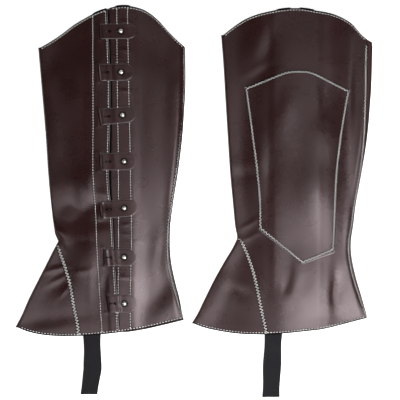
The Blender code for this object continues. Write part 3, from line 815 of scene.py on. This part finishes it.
def thread_finish():
    """Off-white sewing thread, twisted and a little soiled."""
    finish = Finish("off_white_thread")
    twist = finish.noise(0.6, 2.0)
    soil = finish.noise(11.0, 2.0)
    base = finish.mix(finish.fade(soil, 0.35, 0.7), (0.97, 0.95, 0.93, 1), (0.85, 0.82, 0.8, 1))
    base = finish.mix(finish.fade(twist, 0.5, 0.8, 0.0, 0.4), base, (0.4, 0.37, 0.35, 1))
    finish.set(Base_Color=base, Roughness=finish.fade(twist, 0.3, 0.7, 0.6, 0.8))
    finish.bump(twist, 0.15)
    return finish.material


def shade_ribbon_finish():
    """Near-black painted shade under stitches, in the strap slots and beside the lapped edge."""
    finish = Finish("stitch_channel", Roughness=0.9, Specular_IOR_Level=0.08)
    shade_mottle = finish.noise(1.5, 2.0)
    finish.set(Base_Color=finish.mix(shade_mottle, (0.0015, 0.001, 0.001, 1), (0.006, 0.003, 0.003, 1)))
    return finish.material


def nickel_finish():
    """Polished nickel with faint wear."""
    finish = Finish("polished_nickel", Metallic=1.0)
    wear = finish.noise(1.3, 3.0)
    finish.set(Base_Color=finish.mix(wear, (0.78, 0.76, 0.72, 1), (0.62, 0.6, 0.57, 1)),
               Roughness=finish.fade(wear, 0.3, 0.8, 0.22, 0.32))
    finish.bump(wear, 0.03, 0.4)
    return finish.material


LEATHER_FINISH = leather_finish()
BACKING_FINISH = backing_finish()
ELASTIC_FINISH = elastic_finish()
THREAD_FINISH = thread_finish()
SHADE_RIBBON_FINISH = shade_ribbon_finish()
NICKEL_FINISH = nickel_finish()


def put(name, data):
    """A new object in the scene, at the origin."""
    made = bpy.data.objects.new(name, data)
    bpy.context.scene.collection.objects.link(made)
    return made


def add_piece(name, cover, vertices, faces, materials, kinds=None, slot=None):
    """Makes a piece from points in a cover's leg frame. kinds gives each face's material."""
    mesh = bpy.data.meshes.new(f"{cover.name}_{name}")
    mesh.from_pydata(cover.place(vertices) * METRES, [], faces)
    for material in materials:
        mesh.materials.append(material)
    if kinds is not None:
        mesh.polygons.foreach_set("material_index", kinds)
    mesh.shade_smooth()
    mesh.set_sharp_from_angle(angle=SHARP_ANGLE)
    made = put(mesh.name, mesh)
    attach(made, "root")
    return made


def carry(piece, name, values):
    """Gives a mesh a number for each vertex, for its material to read."""
    attribute = piece.data.attributes.new(name, "FLOAT", "POINT")
    attribute.data.foreach_set("value", np.ascontiguousarray(values, np.float32))


def spans(points):
    """Lengths along the grid lines, from the first column and from the first row."""
    steps = [(np.linalg.norm(np.diff(points, axis=axis), axis=2), axis) for axis in (1, 0)]
    return [np.insert(np.cumsum(length, axis), 0, 0.0, axis) for length, axis in steps]


def margin(points, sides):
    """Distance of each grid point from the nearest of the named sides, along the grid lines."""
    across, up = spans(points)
    from_side = {"start": across, "end": across[:, -1:] - across, "bottom": up, "top": up[-1:] - up}
    far = [np.full(across.shape, FAR)]
    return np.min(far + [from_side[side] for side in sides.split()], axis=0)


def shell(name, cover, points, thickness, outward, materials, slot, raw="", turned="", nose="",
          keep=None, raw_width=1.0, mark=FAR):
    """A closed wall round a grid of middle points.

    Both faces lie half the thickness from the grid along its normal. Near the sides named in nose
    the half thickness shrinks as a quarter circle, which rounds the cut edge. Each edge of only one
    kept cell gives a strip of rim. outward says on which side of the grid the first material lies.
    raw and turned name the sides that the material shows as cut or as turned edges, raw_width says
    how wide the cut edge looks, and the last one holds distances from painted shade at studs and
    slits.
    """
    rows, columns = points.shape[:2]
    count = rows * columns
    keep = np.ones((rows - 1, columns - 1), bool) if keep is None else keep
    normal = np.cross(np.gradient(points, axis=0), np.gradient(points, axis=1))
    normal /= np.linalg.norm(normal, axis=2, keepdims=True)
    short = 1.0 - np.clip(margin(points, nose) / NOSE, 0.0, 1.0)
    half = thickness / 2 * np.sqrt(np.maximum(1.0 - short**2, NOSE_THINNEST**2))
    offset = normal * half[..., None]
    vertices = np.concatenate([(points + offset).reshape(-1, 3), (points - offset).reshape(-1, 3)])
    index = np.arange(count).reshape(rows, columns)
    upper = np.stack((index[:-1, :-1], index[1:, :-1], index[1:, 1:], index[:-1, 1:]), -1)[keep]
    under = upper[:, ::-1] + count
    first, second = upper.ravel(), np.roll(upper, -1, axis=1).ravel()
    lone = ~np.isin(first * count + second, second * count + first)
    first, second = first[lone], second[lone]
    rim = np.stack([second, first, first + count, second + count], -1)
    faces = np.concatenate([upper, under, rim])
    front = 0 if outward > 0 else 1
    kinds = np.repeat([front, 1 - front, 0], [len(upper), len(under), len(rim)])
    used, numbered = np.unique(faces, return_inverse=True)
    made = add_piece(name, cover, vertices[used], numbered.reshape(faces.shape).tolist(), materials,
                     np.minimum(kinds, len(materials) - 1), slot)
    carry(made, "raw", np.tile(margin(points, raw).ravel(), 2)[used] / raw_width)
    # The turned number also carries the distance from painted shade round studs, holes and slits.
    carry(made, "turned", np.tile(np.minimum(margin(points, turned), mark).ravel(), 2)[used])
    spot = np.tile(np.stack(spans(points), -1).reshape(-1, 2), (2, 1))[used][numbered.ravel()]
    made.data.uv_layers.new(name="cut").data.foreach_set("uv", spot.astype(np.float32).ravel())
    return made


def leather(name, cover, points, outward, **edges):
    """A wall of leather, with its black back on the other side."""
    finishes = (LEATHER_FINISH, BACKING_FINISH)
    return shell(f"{name}_leather", cover, points, LEATHER, outward, finishes, "leather", **edges)


def on_grid(x, y, z):
    """One grid of points from its three coordinates."""
    return np.stack(np.broadcast_arrays(x, y, z), axis=-1)


def wrap(outer_plan, inner_plan, outer_height, inner_height):
    """Points from the closure side round the front fold to the inner side.

    The fold is a half ellipse between the heights of the two sides at the fold line.
    """
    outer = on_grid(*outer_plan, outer_height(*outer_plan))
    inner = on_grid(*inner_plan, inner_height(*inner_plan))
    start, end = outer[:, -1:], inner[:, :1]
    turn = np.linspace(math.pi / 2, -math.pi / 2, FOLD_STEPS + 2)[1:-1]
    share = (1 - np.sin(turn)) / 2
    x_fold = start[..., 0] - FOLD_DEPTH * np.cos(turn)
    y_fold = start[..., 1] + (end[..., 1] - start[..., 1]) * share
    z_fold = start[..., 2] + (end[..., 2] - start[..., 2]) * share
    return np.hstack([outer, on_grid(x_fold, y_fold, z_fold), inner])


def body(cover):
    """The body: outer front, front fold and whole inner side, cut away over the toe."""
    cells = cover.sizes["cells"]
    up = stations(ROWS_UP, SHARE_OF_ROW, 2 * SHARE_OF_ROW)
    outer_columns = (cover.flap_edge, cover.facing_inner, curve(FRONT_FACING_EDGE),
                     cover.front_line, cover.fold_line)
    outer_rows = (cover.hem, lambda x: np.full_like(x, cover.apex),
                  lambda x: np.full_like(x, PATCH_FRONT_TOP), cover.top)
    outer_across = stations(cells["outer"], 0.15)
    inner_columns = (cover.fold_line, cover.front_line, cover.patch_front, cover.patch_back,
                     cover.inner_back)
    inner_rows = (cover.under_hem, cover.patch_foot, corners(PATCH_TOP), cover.top)
    inner_across = stations(cells["inner"])
    points = wrap(net(outer_columns, outer_across, outer_rows, up),
                  net(inner_columns, inner_across, inner_rows, up), cover.flap, cover.inner_side)
    keep = np.ones((points.shape[0] - 1, points.shape[1] - 1), bool)
    toe_start = np.searchsorted(outer_across, 3.0)
    toe_end = len(outer_across) + FOLD_STEPS + np.searchsorted(inner_across, 1.0)
    keep[:np.searchsorted(up, 1.0), toe_start:toe_end] = False
    return leather("body", cover, points, cover.out, raw="start", turned="bottom top",
                   nose="start bottom top", keep=keep, raw_width=0.45)


def facing(name, cover, columns, across, height):
    """A black strip inside a panel of the closure, just proud of it at both ends."""
    plan = net(columns, stations((across,)), (cover.hem, cover.top), stations((FACING_ROWS,)))
    points = on_grid(*plan, height(*plan))
    points[..., 2] -= cover.out * (LEATHER / 2 + LAY_GAP + FACING / 2)
    points[[0, -1], :, 1] += FACING_PROUD
    return shell(f"{name}_strip", cover, points, FACING, cover.out, (BACKING_FINISH,), "facing")


def front_facing(cover):
    """The strip inside the front edge of the closure."""
    columns = (cover.facing_inner, curve(FRONT_FACING_EDGE))
    return facing("front_facing", cover, columns, 14, cover.flap)


def back_facing(cover):
    """The strip inside the back edge of the closure."""
    edge = curve(BACK_FACING_EDGE)
    columns = (edge, lambda y: edge(y) + BACK_FACING_WIDTH)
    return facing("back_facing", cover, columns, 12, cover.outer_side)


def back_panel(cover):
    """The outer side behind the closure, up to the back seam."""
    edge = curve(BACK_FACING_EDGE)
    columns = (cover.back_edge, edge, lambda y: edge(y) + BACK_FACING_WIDTH, cover.back)
    across = stations(cover.sizes["cells"]["back"], 0.1, 0.01)
    up = stations((BACK_ROWS,), 0.2 * SHARE_OF_ROW, 0.2 * SHARE_OF_ROW)
    plan = net(columns, across, (cover.hem, cover.top), up)
    return leather("back_panel", cover, on_grid(*plan, cover.outer_side(*plan)), -cover.out,
                   turned="bottom top end", nose="start bottom top end")


def gusset(cover):
    """The toe piece, folded at the front and sewn to the body on both sides."""
    def seam(y):
        return cover.gusset_seam(y) - SEAM_GAP

    across = stations(cover.sizes["cells"]["gusset"])
    up = stations((ROWS_UP[0],), SHARE_OF_ROW)
    outer_rows = (cover.hem, lambda x: np.full_like(x, cover.apex - APEX_GAP))
    inner_rows = (cover.under_hem, lambda x: cover.patch_foot(x) - APEX_GAP)
    points = wrap(net((seam, cover.fold_line), across, outer_rows, up),
                  net((cover.fold_line, seam), across, inner_rows, up),
                  cover.outer_side, cover.inner_side)
    return leather("toe_gusset", cover, points, cover.out, turned="bottom", nose="bottom")


def calf_patch(cover):
    """The raw-edged patch on the inner side."""
    across, up = cover.sizes["cells"]["patch"]
    plan = net((cover.patch_front, cover.patch_back), stations((across,), 0.006, 0.006),
               (corners(PATCH_FOOT), corners(PATCH_TOP, PATCH_CROWN_REACH)),
               stations((up,), 0.003, 0.003))
    return leather("calf_patch", cover, on_grid(*plan, cover.patch(*plan)), cover.out,
                   raw="start end bottom top", nose="start end bottom top")


def lines_between(knots, size):
    """Grid lines through all the knots, at most size apart."""
    parts = [np.linspace(a, b, max(math.ceil((b - a) / size), 1), endpoint=False)
             for a, b in zip(knots[:-1], knots[1:])]
    return np.concatenate(parts + [[knots[-1]]])


def rounded_hole(u, v, centre, half):
    """Moves grid points so that the square hole at the centre becomes round.

    A point on the square goes straight towards the centre until it lies on the circle, and the
    move fades out at two and a half times the hole's half width.
    """
    square = np.maximum(np.maximum(np.abs(u - centre), np.abs(v)), 1e-6)
    circle = np.maximum(np.hypot(u - centre, v), 1e-6)
    pull = 1.0 + (square / circle - 1.0) * step((2.5 * half - square) / (1.5 * half))
    return centre + (u - centre) * pull, v * pull


def strap_grid(row):
    """Plan of a strap in its own frame, u along it and v across, with the cells that are not holes.

    Its tip is a half circle. Its root corners are quarter circles. Each keyhole is a square that is
    then rounded, with a narrow slit in front of it.
    """
    half = row["width"] / 2
    arc = row["tip"] - half
    slits = [(row["free"] - FREE_HOLE_HALF - SLIT_LENGTH, row["free"], FREE_HOLE_HALF),
             (row["stud"] - HOLE_HALF - SLIT_LENGTH, row["stud"], HOLE_HALF)]
    along = [row["root"], row["root"] + 0.2, row["root"] + NOSE, row["root"] + ROOT_CORNER]
    for start, hole, size in slits:
        along += [start, hole - size, hole + size]
    u_line = lines_between(np.array(sorted(set(along + [arc]))), STRAP_CELL)
    u_line = np.concatenate([u_line, arc + half * np.sin(TIP_ANGLES)])
    corner = ROOT_CORNER - np.clip(u_line - row["root"], 0.0, ROOT_CORNER)
    taper = np.where(u_line > arc, np.sqrt(np.maximum(1.0 - ((u_line - arc) / half)**2, 0.0)),
                     (half - ROOT_CORNER + np.sqrt(ROOT_CORNER**2 - corner**2)) / half)
    marks = [0.0, SLIT_HALF, FREE_HOLE_HALF, HOLE_HALF, half - NOSE, half - 0.2, half - 0.06, half]
    side = lines_between(np.array(marks), STRAP_CELL)
    v_line = np.concatenate([-side[:0:-1], side])
    u, v = np.meshgrid(u_line, v_line)
    middle_u = (u_line[1:] + u_line[:-1]) / 2
    middle_v = np.abs(v_line[1:] + v_line[:-1])[:, None] / 2
    keep = np.ones((len(v_line) - 1, len(u_line) - 1), bool)
    for start, hole, size in slits:
        keep &= ~((middle_v < SLIT_HALF) & (middle_u > start) & (middle_u < hole))
        keep &= ~((middle_v < size) & (np.abs(middle_u - hole) < size))
        u, v = rounded_hole(u, v, hole, size)
    return u, v * taper, keep


def strap(cover, number):
    """A closing strap, which lies on the panels under it and bows up at its bends, and its stud.

    Its seat is a soft maximum of the ground over a small window: the logarithm of the mean of
    exponentials.
    """
    row = {name: values[number] for name, values in STRAPS.items()}
    u, v, keep = strap_grid(row)
    share = (u - row["root"]) / (row["tip"] - row["root"])
    x = u - row["lean"] * v / row["width"] * 2.0 * np.clip(1.0 - share, 0.0, 1.0)**2
    y = v + row["root_height"] + share * (row["tip_height"] - row["root_height"])
    # Painted shade: a dark ring round the stud and the free hole, and a dark halo along each slit.
    mark = np.minimum(np.hypot(u - row["stud"], v) - SHADE_RING_RADIUS,
                      np.hypot(u - row["free"], v) - FREE_SHADE_RING)
    for hole in (row["free"], row["stud"]):
        beyond = np.maximum(np.maximum(hole - FREE_HOLE_HALF - SLIT_LENGTH - u, u - hole), 0.0)
        mark = np.minimum(mark, SLIT_SHADE * np.hypot(beyond, v))
    shifts = SEAT_REACH * np.linspace(-1.0, 1.0, 5)
    seat = sum(np.exp(SEAT_SHARPNESS * (cover.ground(x + dx, y + dy) - SEAT_LEVEL))
               for dx in shifts for dy in shifts)
    ground = SEAT_LEVEL + np.log(seat / len(shifts)**2) / SEAT_SHARPNESS
    bends = STRAP_BENDS["strap"] == number + 1
    for at, width, rise in zip(*(STRAP_BENDS[name][bends] for name in ("x", "width", "rise"))):
        ground = ground + rise * np.exp(-((x - at + BEND_SLANT * v) / width)**2)
    ground = ground - ROOT_DIP * step(1.0 - (u - row["root"]) / ROOT_CORNER)
    z = cover.out * (ground + LEATHER / 2 + LAY_GAP / 2)
    made = leather(f"strap_{number + 1}", cover, on_grid(x, y, z), -cover.out, raw="bottom top end",
                   nose="start end bottom top", keep=keep, raw_width=0.35, mark=mark)
    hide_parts(f"{cover.name}_strap_{number + 1}")
    flat = (row["width"] * METRES, (row["tip"] - row["root"]) * METRES)
    STRAP_FILL * flat[0] * flat[1]
    stud(cover, number, row, float(np.median(ground)) + LAY_GAP / 2)


def turned_piece(profile, centre, out):
    """Vertices and faces of a turned piece, from (radius, height) pairs with a pole at each end."""
    radius, height = np.array(profile).T
    angles = np.arange(STUD_SIDES) * 2 * math.pi / STUD_SIDES
    rings = on_grid(centre[0] + radius[1:-1, None] * np.cos(angles),
                    centre[1] + radius[1:-1, None] * np.sin(angles),
                    height[1:-1, None]).reshape(-1, 3)
    vertices = np.concatenate([[(*centre, height[0])], rings, [(*centre, height[-1])]])
    index = 1 + np.arange(len(rings)).reshape(-1, STUD_SIDES)
    beside = np.roll(index, -1, axis=1)
    walls = np.stack([index[:-1], beside[:-1], beside[1:], index[1:]], -1).reshape(-1, 4)
    foot = np.stack([np.zeros(STUD_SIDES, int), beside[0], index[0]], -1)
    crown = np.stack([index[-1], beside[-1], np.full(STUD_SIDES, len(vertices) - 1)], -1)
    faces = walls[:, ::out].tolist() + foot[:, ::out].tolist() + crown[:, ::out].tolist()
    return vertices, faces


def stud(cover, number, row, brim):
    """A ball stud: a neck through the keyhole, a small collar and a ball that is a little flat."""
    share = (row["stud"] - row["root"]) / (row["tip"] - row["root"])
    at = (row["stud"], row["root_height"] + share * (row["tip_height"] - row["root_height"]))
    foot = float(cover.ground(np.array(at[0]), np.array(at[1]))) + LAY_GAP
    rim = brim + LEATHER
    profile = [(0.0, foot), (NECK_RADIUS, foot)] + [(radius, rim + rise) for radius, rise in COLLAR]
    profile += zip(BALL_RADIUS * np.cos(BALL_ARC), rim + BALL_HEIGHT / 2 * (1 + np.sin(BALL_ARC)))
    profile.append((0.0, rim + BALL_HEIGHT))
    profile = [(radius, cover.out * height) for radius, height in profile]
    shape = turned_piece(profile, at, cover.out)
    made = add_piece(f"stud_{number + 1}_ball", cover, *shape, (NICKEL_FINISH,), slot="nickel")
    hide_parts(f"{cover.name}_stud_{number + 1}")


def stirrup(cover):
    """The elastic stirrup: a flat loop whose two ends are held between the sides at the hem."""
    end = cover.sizes["stirrup"]["height"][0]
    start = float(cover.hem(cover.stirrup_middle(0.0)))
    down = np.linspace(start + STIRRUP_TUCK, end + ELASTIC, 60)[:, None]
    v = np.linspace(-0.5, 0.5, 17)
    sway = SWAY * np.sin(down / SWAY_RUN) * (np.abs(v) * 2)**3 * np.sign(v)
    x = cover.stirrup_middle(down) + STIRRUP_WIDTH * v + sway
    held = cover.lower(x, np.maximum(down, start)) + LEATHER / 2 + STIRRUP_GAP
    lower = ELASTIC / 2 + held * step((down - start + STIRRUP_FALL) / (STIRRUP_FALL - STIRRUP_EASE))
    y = np.broadcast_to(down, x.shape)
    gap = ELASTIC + LAY_GAP
    turn = STIRRUP_TURN[:, None]
    y_fold = y[-1] - gap / 2 * np.cos(turn)
    z_fold = lower[-1] + gap / 2 * (1 + np.sin(turn))
    x_fold = np.broadcast_to(x[-1], y_fold.shape)
    points = on_grid(np.vstack([x, x_fold, x[::-1]]),
                     np.vstack([y, y_fold, y[::-1]]),
                     np.vstack([lower, z_fold, lower[::-1] + gap]))
    return shell("stirrup_elastic", cover, points, ELASTIC, 1, (ELASTIC_FINISH,), "elastic")


def walk(x, y, pitch):
    """Places at equal steps of length along a line of points."""
    length = np.concatenate([[0.0], np.cumsum(np.hypot(np.diff(x), np.diff(y)))])
    at = np.linspace(0.0, length[-1], max(int(length[-1] / pitch), 1) + 1)
    return np.stack([np.interp(at, length, x), np.interp(at, length, y)], -1)


def running(x, y, pitch=STITCH_PITCH):
    """Starts and ends of a row of straight stitches, with a short gap between them."""
    places = walk(x, y, pitch)
    run = np.diff(places, axis=0)
    inset = (1.0 - STITCH_SHARE) / 2
    return places[:-1] + run * inset, places[1:] - run * inset


def zigzag(x, y, pitch, width):
    """Starts and ends of a zigzag: each thread crosses the line from one side to the other."""
    places = walk(x, y, pitch)
    along = np.gradient(places, axis=0)
    side = np.stack([-along[:, 1], along[:, 0]], -1) / np.linalg.norm(along, axis=1, keepdims=True)
    swing = np.where(np.arange(len(places)) % 2 == 0, 0.5, -0.5)[:, None]
    points = places + side * width * swing
    return points[:-1], points[1:]


def threads(name, cover, runs, height, face, radius=THREAD_RADIUS):
    """Short threads on a surface, joined into one mesh.

    Each is a six-sided sausage from its start to its end. Its middle stands above the surface and
    its ends dip into the leather.
    """
    start = np.concatenate([run[0] for run in runs])
    end = np.concatenate([run[1] for run in runs])
    run = end - start
    along = run / np.linalg.norm(run, axis=1, keepdims=True)
    centre = start[:, None] + THREAD_SHARE[:, None] * run[:, None]
    z = height(centre[..., 0], centre[..., 1]) + face * (LEATHER / 2 + radius * THREAD_RISE)
    turn = np.arange(THREAD_SIDES) * 2 * math.pi / THREAD_SIDES
    wide = radius * THREAD_THICK[:, None] * np.cos(turn)
    high = radius * THREAD_THICK[:, None] * np.sin(turn)
    x = centre[:, :, None, 0] - along[:, None, None, 1] * wide
    y = centre[:, :, None, 1] + along[:, None, None, 0] * wide
    points = np.stack([x, y, z[:, :, None] + high], -1)
    index = np.arange(len(THREAD_SHARE) * THREAD_SIDES).reshape(-1, THREAD_SIDES)
    beside = np.roll(index, -1, axis=1)
    sides = np.stack([index[:-1], beside[:-1], beside[1:], index[1:]], -1).reshape(-1, 4)
    caps = np.stack([index[0, ::-1], index[-1]])
    shift = np.arange(len(start))[:, None, None] * index.size
    sides, caps = (sides + shift).reshape(-1, 4), (caps + shift).reshape(-1, THREAD_SIDES)
    add_piece(name, cover, points.reshape(-1, 3), sides.tolist() + caps.tolist(), (THREAD_FINISH,))


def shade_ribbons(name, cover, lines, height, face):
    """Ribbons of painted shade under stitches, beside the lapped edge and in the strap slots.

    Each is a ribbon along a line of points with a width at each. Its flat top just clears the
    leather and its edges sink into it.
    """
    vertices, faces = [], []
    for x, y, width in lines:
        along = np.stack([np.gradient(x), np.gradient(y)], -1)
        along /= np.linalg.norm(along, axis=1, keepdims=True)
        across = SHADE_RIBBON_SECTION * np.broadcast_to(width, x.shape)[:, None]
        px = x[:, None] - along[:, 1:] * across
        py = y[:, None] + along[:, :1] * across
        lift = LEATHER / 2 + SHADE_RIBBON_LIFT
        points = np.stack([px, py, height(px, py) + face * lift], -1).reshape(-1, 3)
        index = np.arange(len(points)).reshape(-1, 4) + sum(len(part) for part in vertices)
        beside = np.roll(index, -1, axis=1)
        loop = np.stack([index[:-1], index[1:], beside[1:], beside[:-1]], -1).reshape(-1, 4)
        ends = [index[0, ::face].tolist(), index[-1, ::-face].tolist()]
        faces += loop[:, ::face].tolist() + ends
        vertices.append(points)
    add_piece(name, cover, np.concatenate(vertices), faces, (SHADE_RIBBON_FINISH,))


def row_of(name, cover, lines, height, face, pitch=STITCH_PITCH):
    """Rows of straight stitches, each lying on a ribbon of painted shade."""
    shade_ribbons(f"{name}_channel", cover, [(x, y, SHADE_RIBBON_WIDTH) for x, y in lines], height, face)
    threads(f"{name}_stitches", cover, [running(x, y, pitch) for x, y in lines], height, face)


def zigzag_of(name, cover, lines, seam, height, face):
    """Rows of zigzag stitches, each lying on a ribbon of painted shade. seam is a row of the table
    of zigzags.
    """
    pitch, width, radius = (values[seam] for values in ZIGZAGS.values())
    ribbons = [(x, y, width + ZIGZAG_MARGIN) for x, y in lines]
    shade_ribbons(f"{name}_channel", cover, ribbons, height, face)
    runs = [zigzag(x, y, pitch, width) for x, y in lines]
    threads(f"{name}_zigzag", cover, runs, height, face, radius)


def line_up(column, low, high):
    """Points of a curve x(y) between two heights."""
    y = np.linspace(low, high, DENSE)
    return column(y), y


def line_across(row, left, right, inset):
    """Points of a curve y(x) between two places, moved up by inset."""
    x = np.linspace(left, right, DENSE)
    return x, row(x) + inset


def end_of(edge, height, inset=0.0):
    """x of an edge at a height, moved by inset."""
    return float(edge(np.array(height))) + inset


def stitching(cover):
    """All the sewing of one cover, with one joined mesh for each kind of seam on each side."""
    outer, inner = cover.out, -cover.out

    front_rows = (curve(FRONT_FACING_EDGE), lambda y: cover.flap_edge(y) - FLAP_INSET)
    back_rows = (lambda y: curve(BACK_FACING_EDGE)(y) + BACK_INSET, curve(FACING_STITCHES))
    for name, rows, height in (("front_edge", front_rows, cover.flap),
                               ("back_edge", back_rows, cover.outer_side)):
        lines = [line_up(row, float(cover.hem(end_of(row, HEM_LEVEL))) + HEM_INSET,
                         float(cover.top(end_of(row, TOP_LEVEL))) - HEM_INSET) for row in rows]
        row_of(name, cover, lines, height, outer, EDGE_PITCH)
    hem_front, hem_back = end_of(cover.front, 15.0, 6.0), end_of(cover.back, 22.0, -3.0)
    top_front, top_back = end_of(cover.front, 384.0, 4.0), end_of(cover.back, 388.0, -3.0)
    inner_back = end_of(cover.inner_back, 388.0, -3.0)
    for name, hem, hem_ends, top_ends, height, face in (
            ("hem_front", cover.hem, (hem_front, -1.0), (top_front, -16.5), cover.flap, outer),
            ("hem_back", cover.hem, (0.0, hem_back), (-8.0, top_back), cover.outer_side, outer),
            ("hem_inner", cover.under_hem, (hem_front, hem_back), (top_front, inner_back),
             cover.inner_side, inner)):
        row_of(name, cover, [line_across(hem, *hem_ends, HEM_INSET),
                             line_across(cover.top, *top_ends, -HEM_INSET)], height, face)
    seam_start = float(cover.hem(end_of(cover.gusset_seam, HEM_LEVEL))) + 1.0
    seam = line_up(cover.gusset_seam, seam_start, cover.apex - 3.0)
    inset = curve(SEAM_INSET, "inset")
    for side, height, face, edge in (("outer", cover.outer_side, outer, cover.back),
                                     ("inner", cover.inner_side, inner, cover.inner_back)):
        back_seam = line_up(lambda y: edge(y) - inset(y), *BACK_SEAM_RUN)
        zigzag_of(f"gusset_{side}", cover, [seam], 0, height, face)
        zigzag_of(f"back_seam_{side}", cover, [back_seam], 1, height, face)
    zigzag_of("patch", cover, patch_line(cover), 2, cover.patch, inner)
    # Painted shade in the strap slots.
    shade_ribbons("strap_slot_shades", cover, strap_slot_shades(), cover.flap, outer)
    # A painted shadow on the back panel beside the lapped front edge.
    lapped = line_up(lambda y: cover.flap_edge(y) + LAP_SHADOW_SHIFT, *LAP_SHADOW_RUN)
    shade_ribbons("painted_lap_shadow", cover, [(*lapped, LAP_SHADOW_WIDTH)], cover.outer_side, outer)


def strap_slot_shades():
    """Painted shade in the front edge's slots: thin leaf shapes a little longer than each strap is
    wide.
    """
    share = np.linspace(-1.0, 1.0, 25)
    rows = zip(*(STRAPS[column] for column in ("root", "root_height", "width", "lean")))
    return [(root - SLOT_SHIFT - lean * share, height + share * (width / 2 + SLOT_PAST),
             SLOT_WIDTH * np.sqrt(1.02 - share**2)) for root, height, width, lean in rows]


def patch_line(cover):
    """Lines round the patch, a little inside its edge."""
    def front(y):
        return cover.patch_front(y) + PATCH_INSET

    def back(y):
        return cover.patch_back(y) - PATCH_INSET

    sides = ((front, *PATCH_FRONT_RUN), (back, *PATCH_BACK_RUN))
    lines = [line_up(*side) for side in sides]
    ends = [end_of(edge, high) for edge, _, high in sides]
    lines.append(line_across(corners(PATCH_TOP, PATCH_CROWN_REACH), *ends, -PATCH_INSET))
    for edge, low, _ in sides:
        lines.append((np.linspace(0.0, end_of(edge, low), DENSE),
                      np.linspace(PATCH_TIP, low, DENSE)))
    return lines


def build_cover(cover):
    """Every piece of one cover, each standing for its own CAD node."""
    stitching(cover)
    makers = {"body": body, "back_panel": back_panel, "toe_gusset": gusset,
              "calf_patch": calf_patch, "front_facing": front_facing, "back_facing": back_facing,
              "stirrup": stirrup}
    for node, maker in makers.items():
        made = maker(cover)
        wide, high, *areas, held = SHEETS[node]
        area = areas[0 if cover.out > 0 else 1]
        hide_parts(f"{cover.name}_{node}")
    for number in range(len(STRAPS["root"])):
        strap(cover, number)


for sizes in (LEFT, RIGHT):
    build_cover(Cover(sizes))


def camera():
    """A long lens straight above the pair."""
    data = bpy.data.cameras.new("camera")
    data.sensor_width = SENSOR
    data.lens = SENSOR * (CAMERA_HEIGHT - VIEW_LEVEL) / PHOTO_WIDTH
    made = put("camera", data)
    made.location = np.array([*VIEW_CENTRE, CAMERA_HEIGHT]) * METRES
    bpy.context.scene.camera = made


def floor():
    """A plain white surface under the pair."""
    finish = Finish("white_floor", Roughness=0.9, Base_Color=(0.95, 0.95, 0.95, 1),
                    Emission_Color=(1, 1, 1, 1), Emission_Strength=0.8)
    mesh = bpy.data.meshes.new("floor")
    mesh.from_pydata([(x * FLOOR_HALF, y * FLOOR_HALF, FLOOR_LEVEL)
                      for x, y in ((-1, -1), (1, -1), (1, 1), (-1, 1))], [], [(0, 1, 2, 3)])
    mesh.materials.append(finish.material)
    put("floor", mesh)


def lights():
    """Soft rectangular lights, each turned to the pair, and a pale room."""
    for number, (x, y, z, wide, high, power) in enumerate(zip(*LIGHTS.values())):
        data = bpy.data.lights.new(f"light_{number}", "AREA")
        data.shape = "RECTANGLE"
        data.size, data.size_y = wide, high
        data.energy = power
        made = put(data.name, data)
        made.location = (x, y, z)
        made.rotation_euler = (-made.location).to_track_quat("-Z", "Y").to_euler()
    world = bpy.data.worlds.new("room")
    bpy.context.scene.world = world
    world.use_nodes = True
    background = world.node_tree.nodes["Background"].inputs
    background["Color"].default_value = (1, 1, 1, 1)
    background["Strength"].default_value = 0.05


floor()
camera()
lights()
bpy.context.scene.view_settings.view_transform = "Standard"
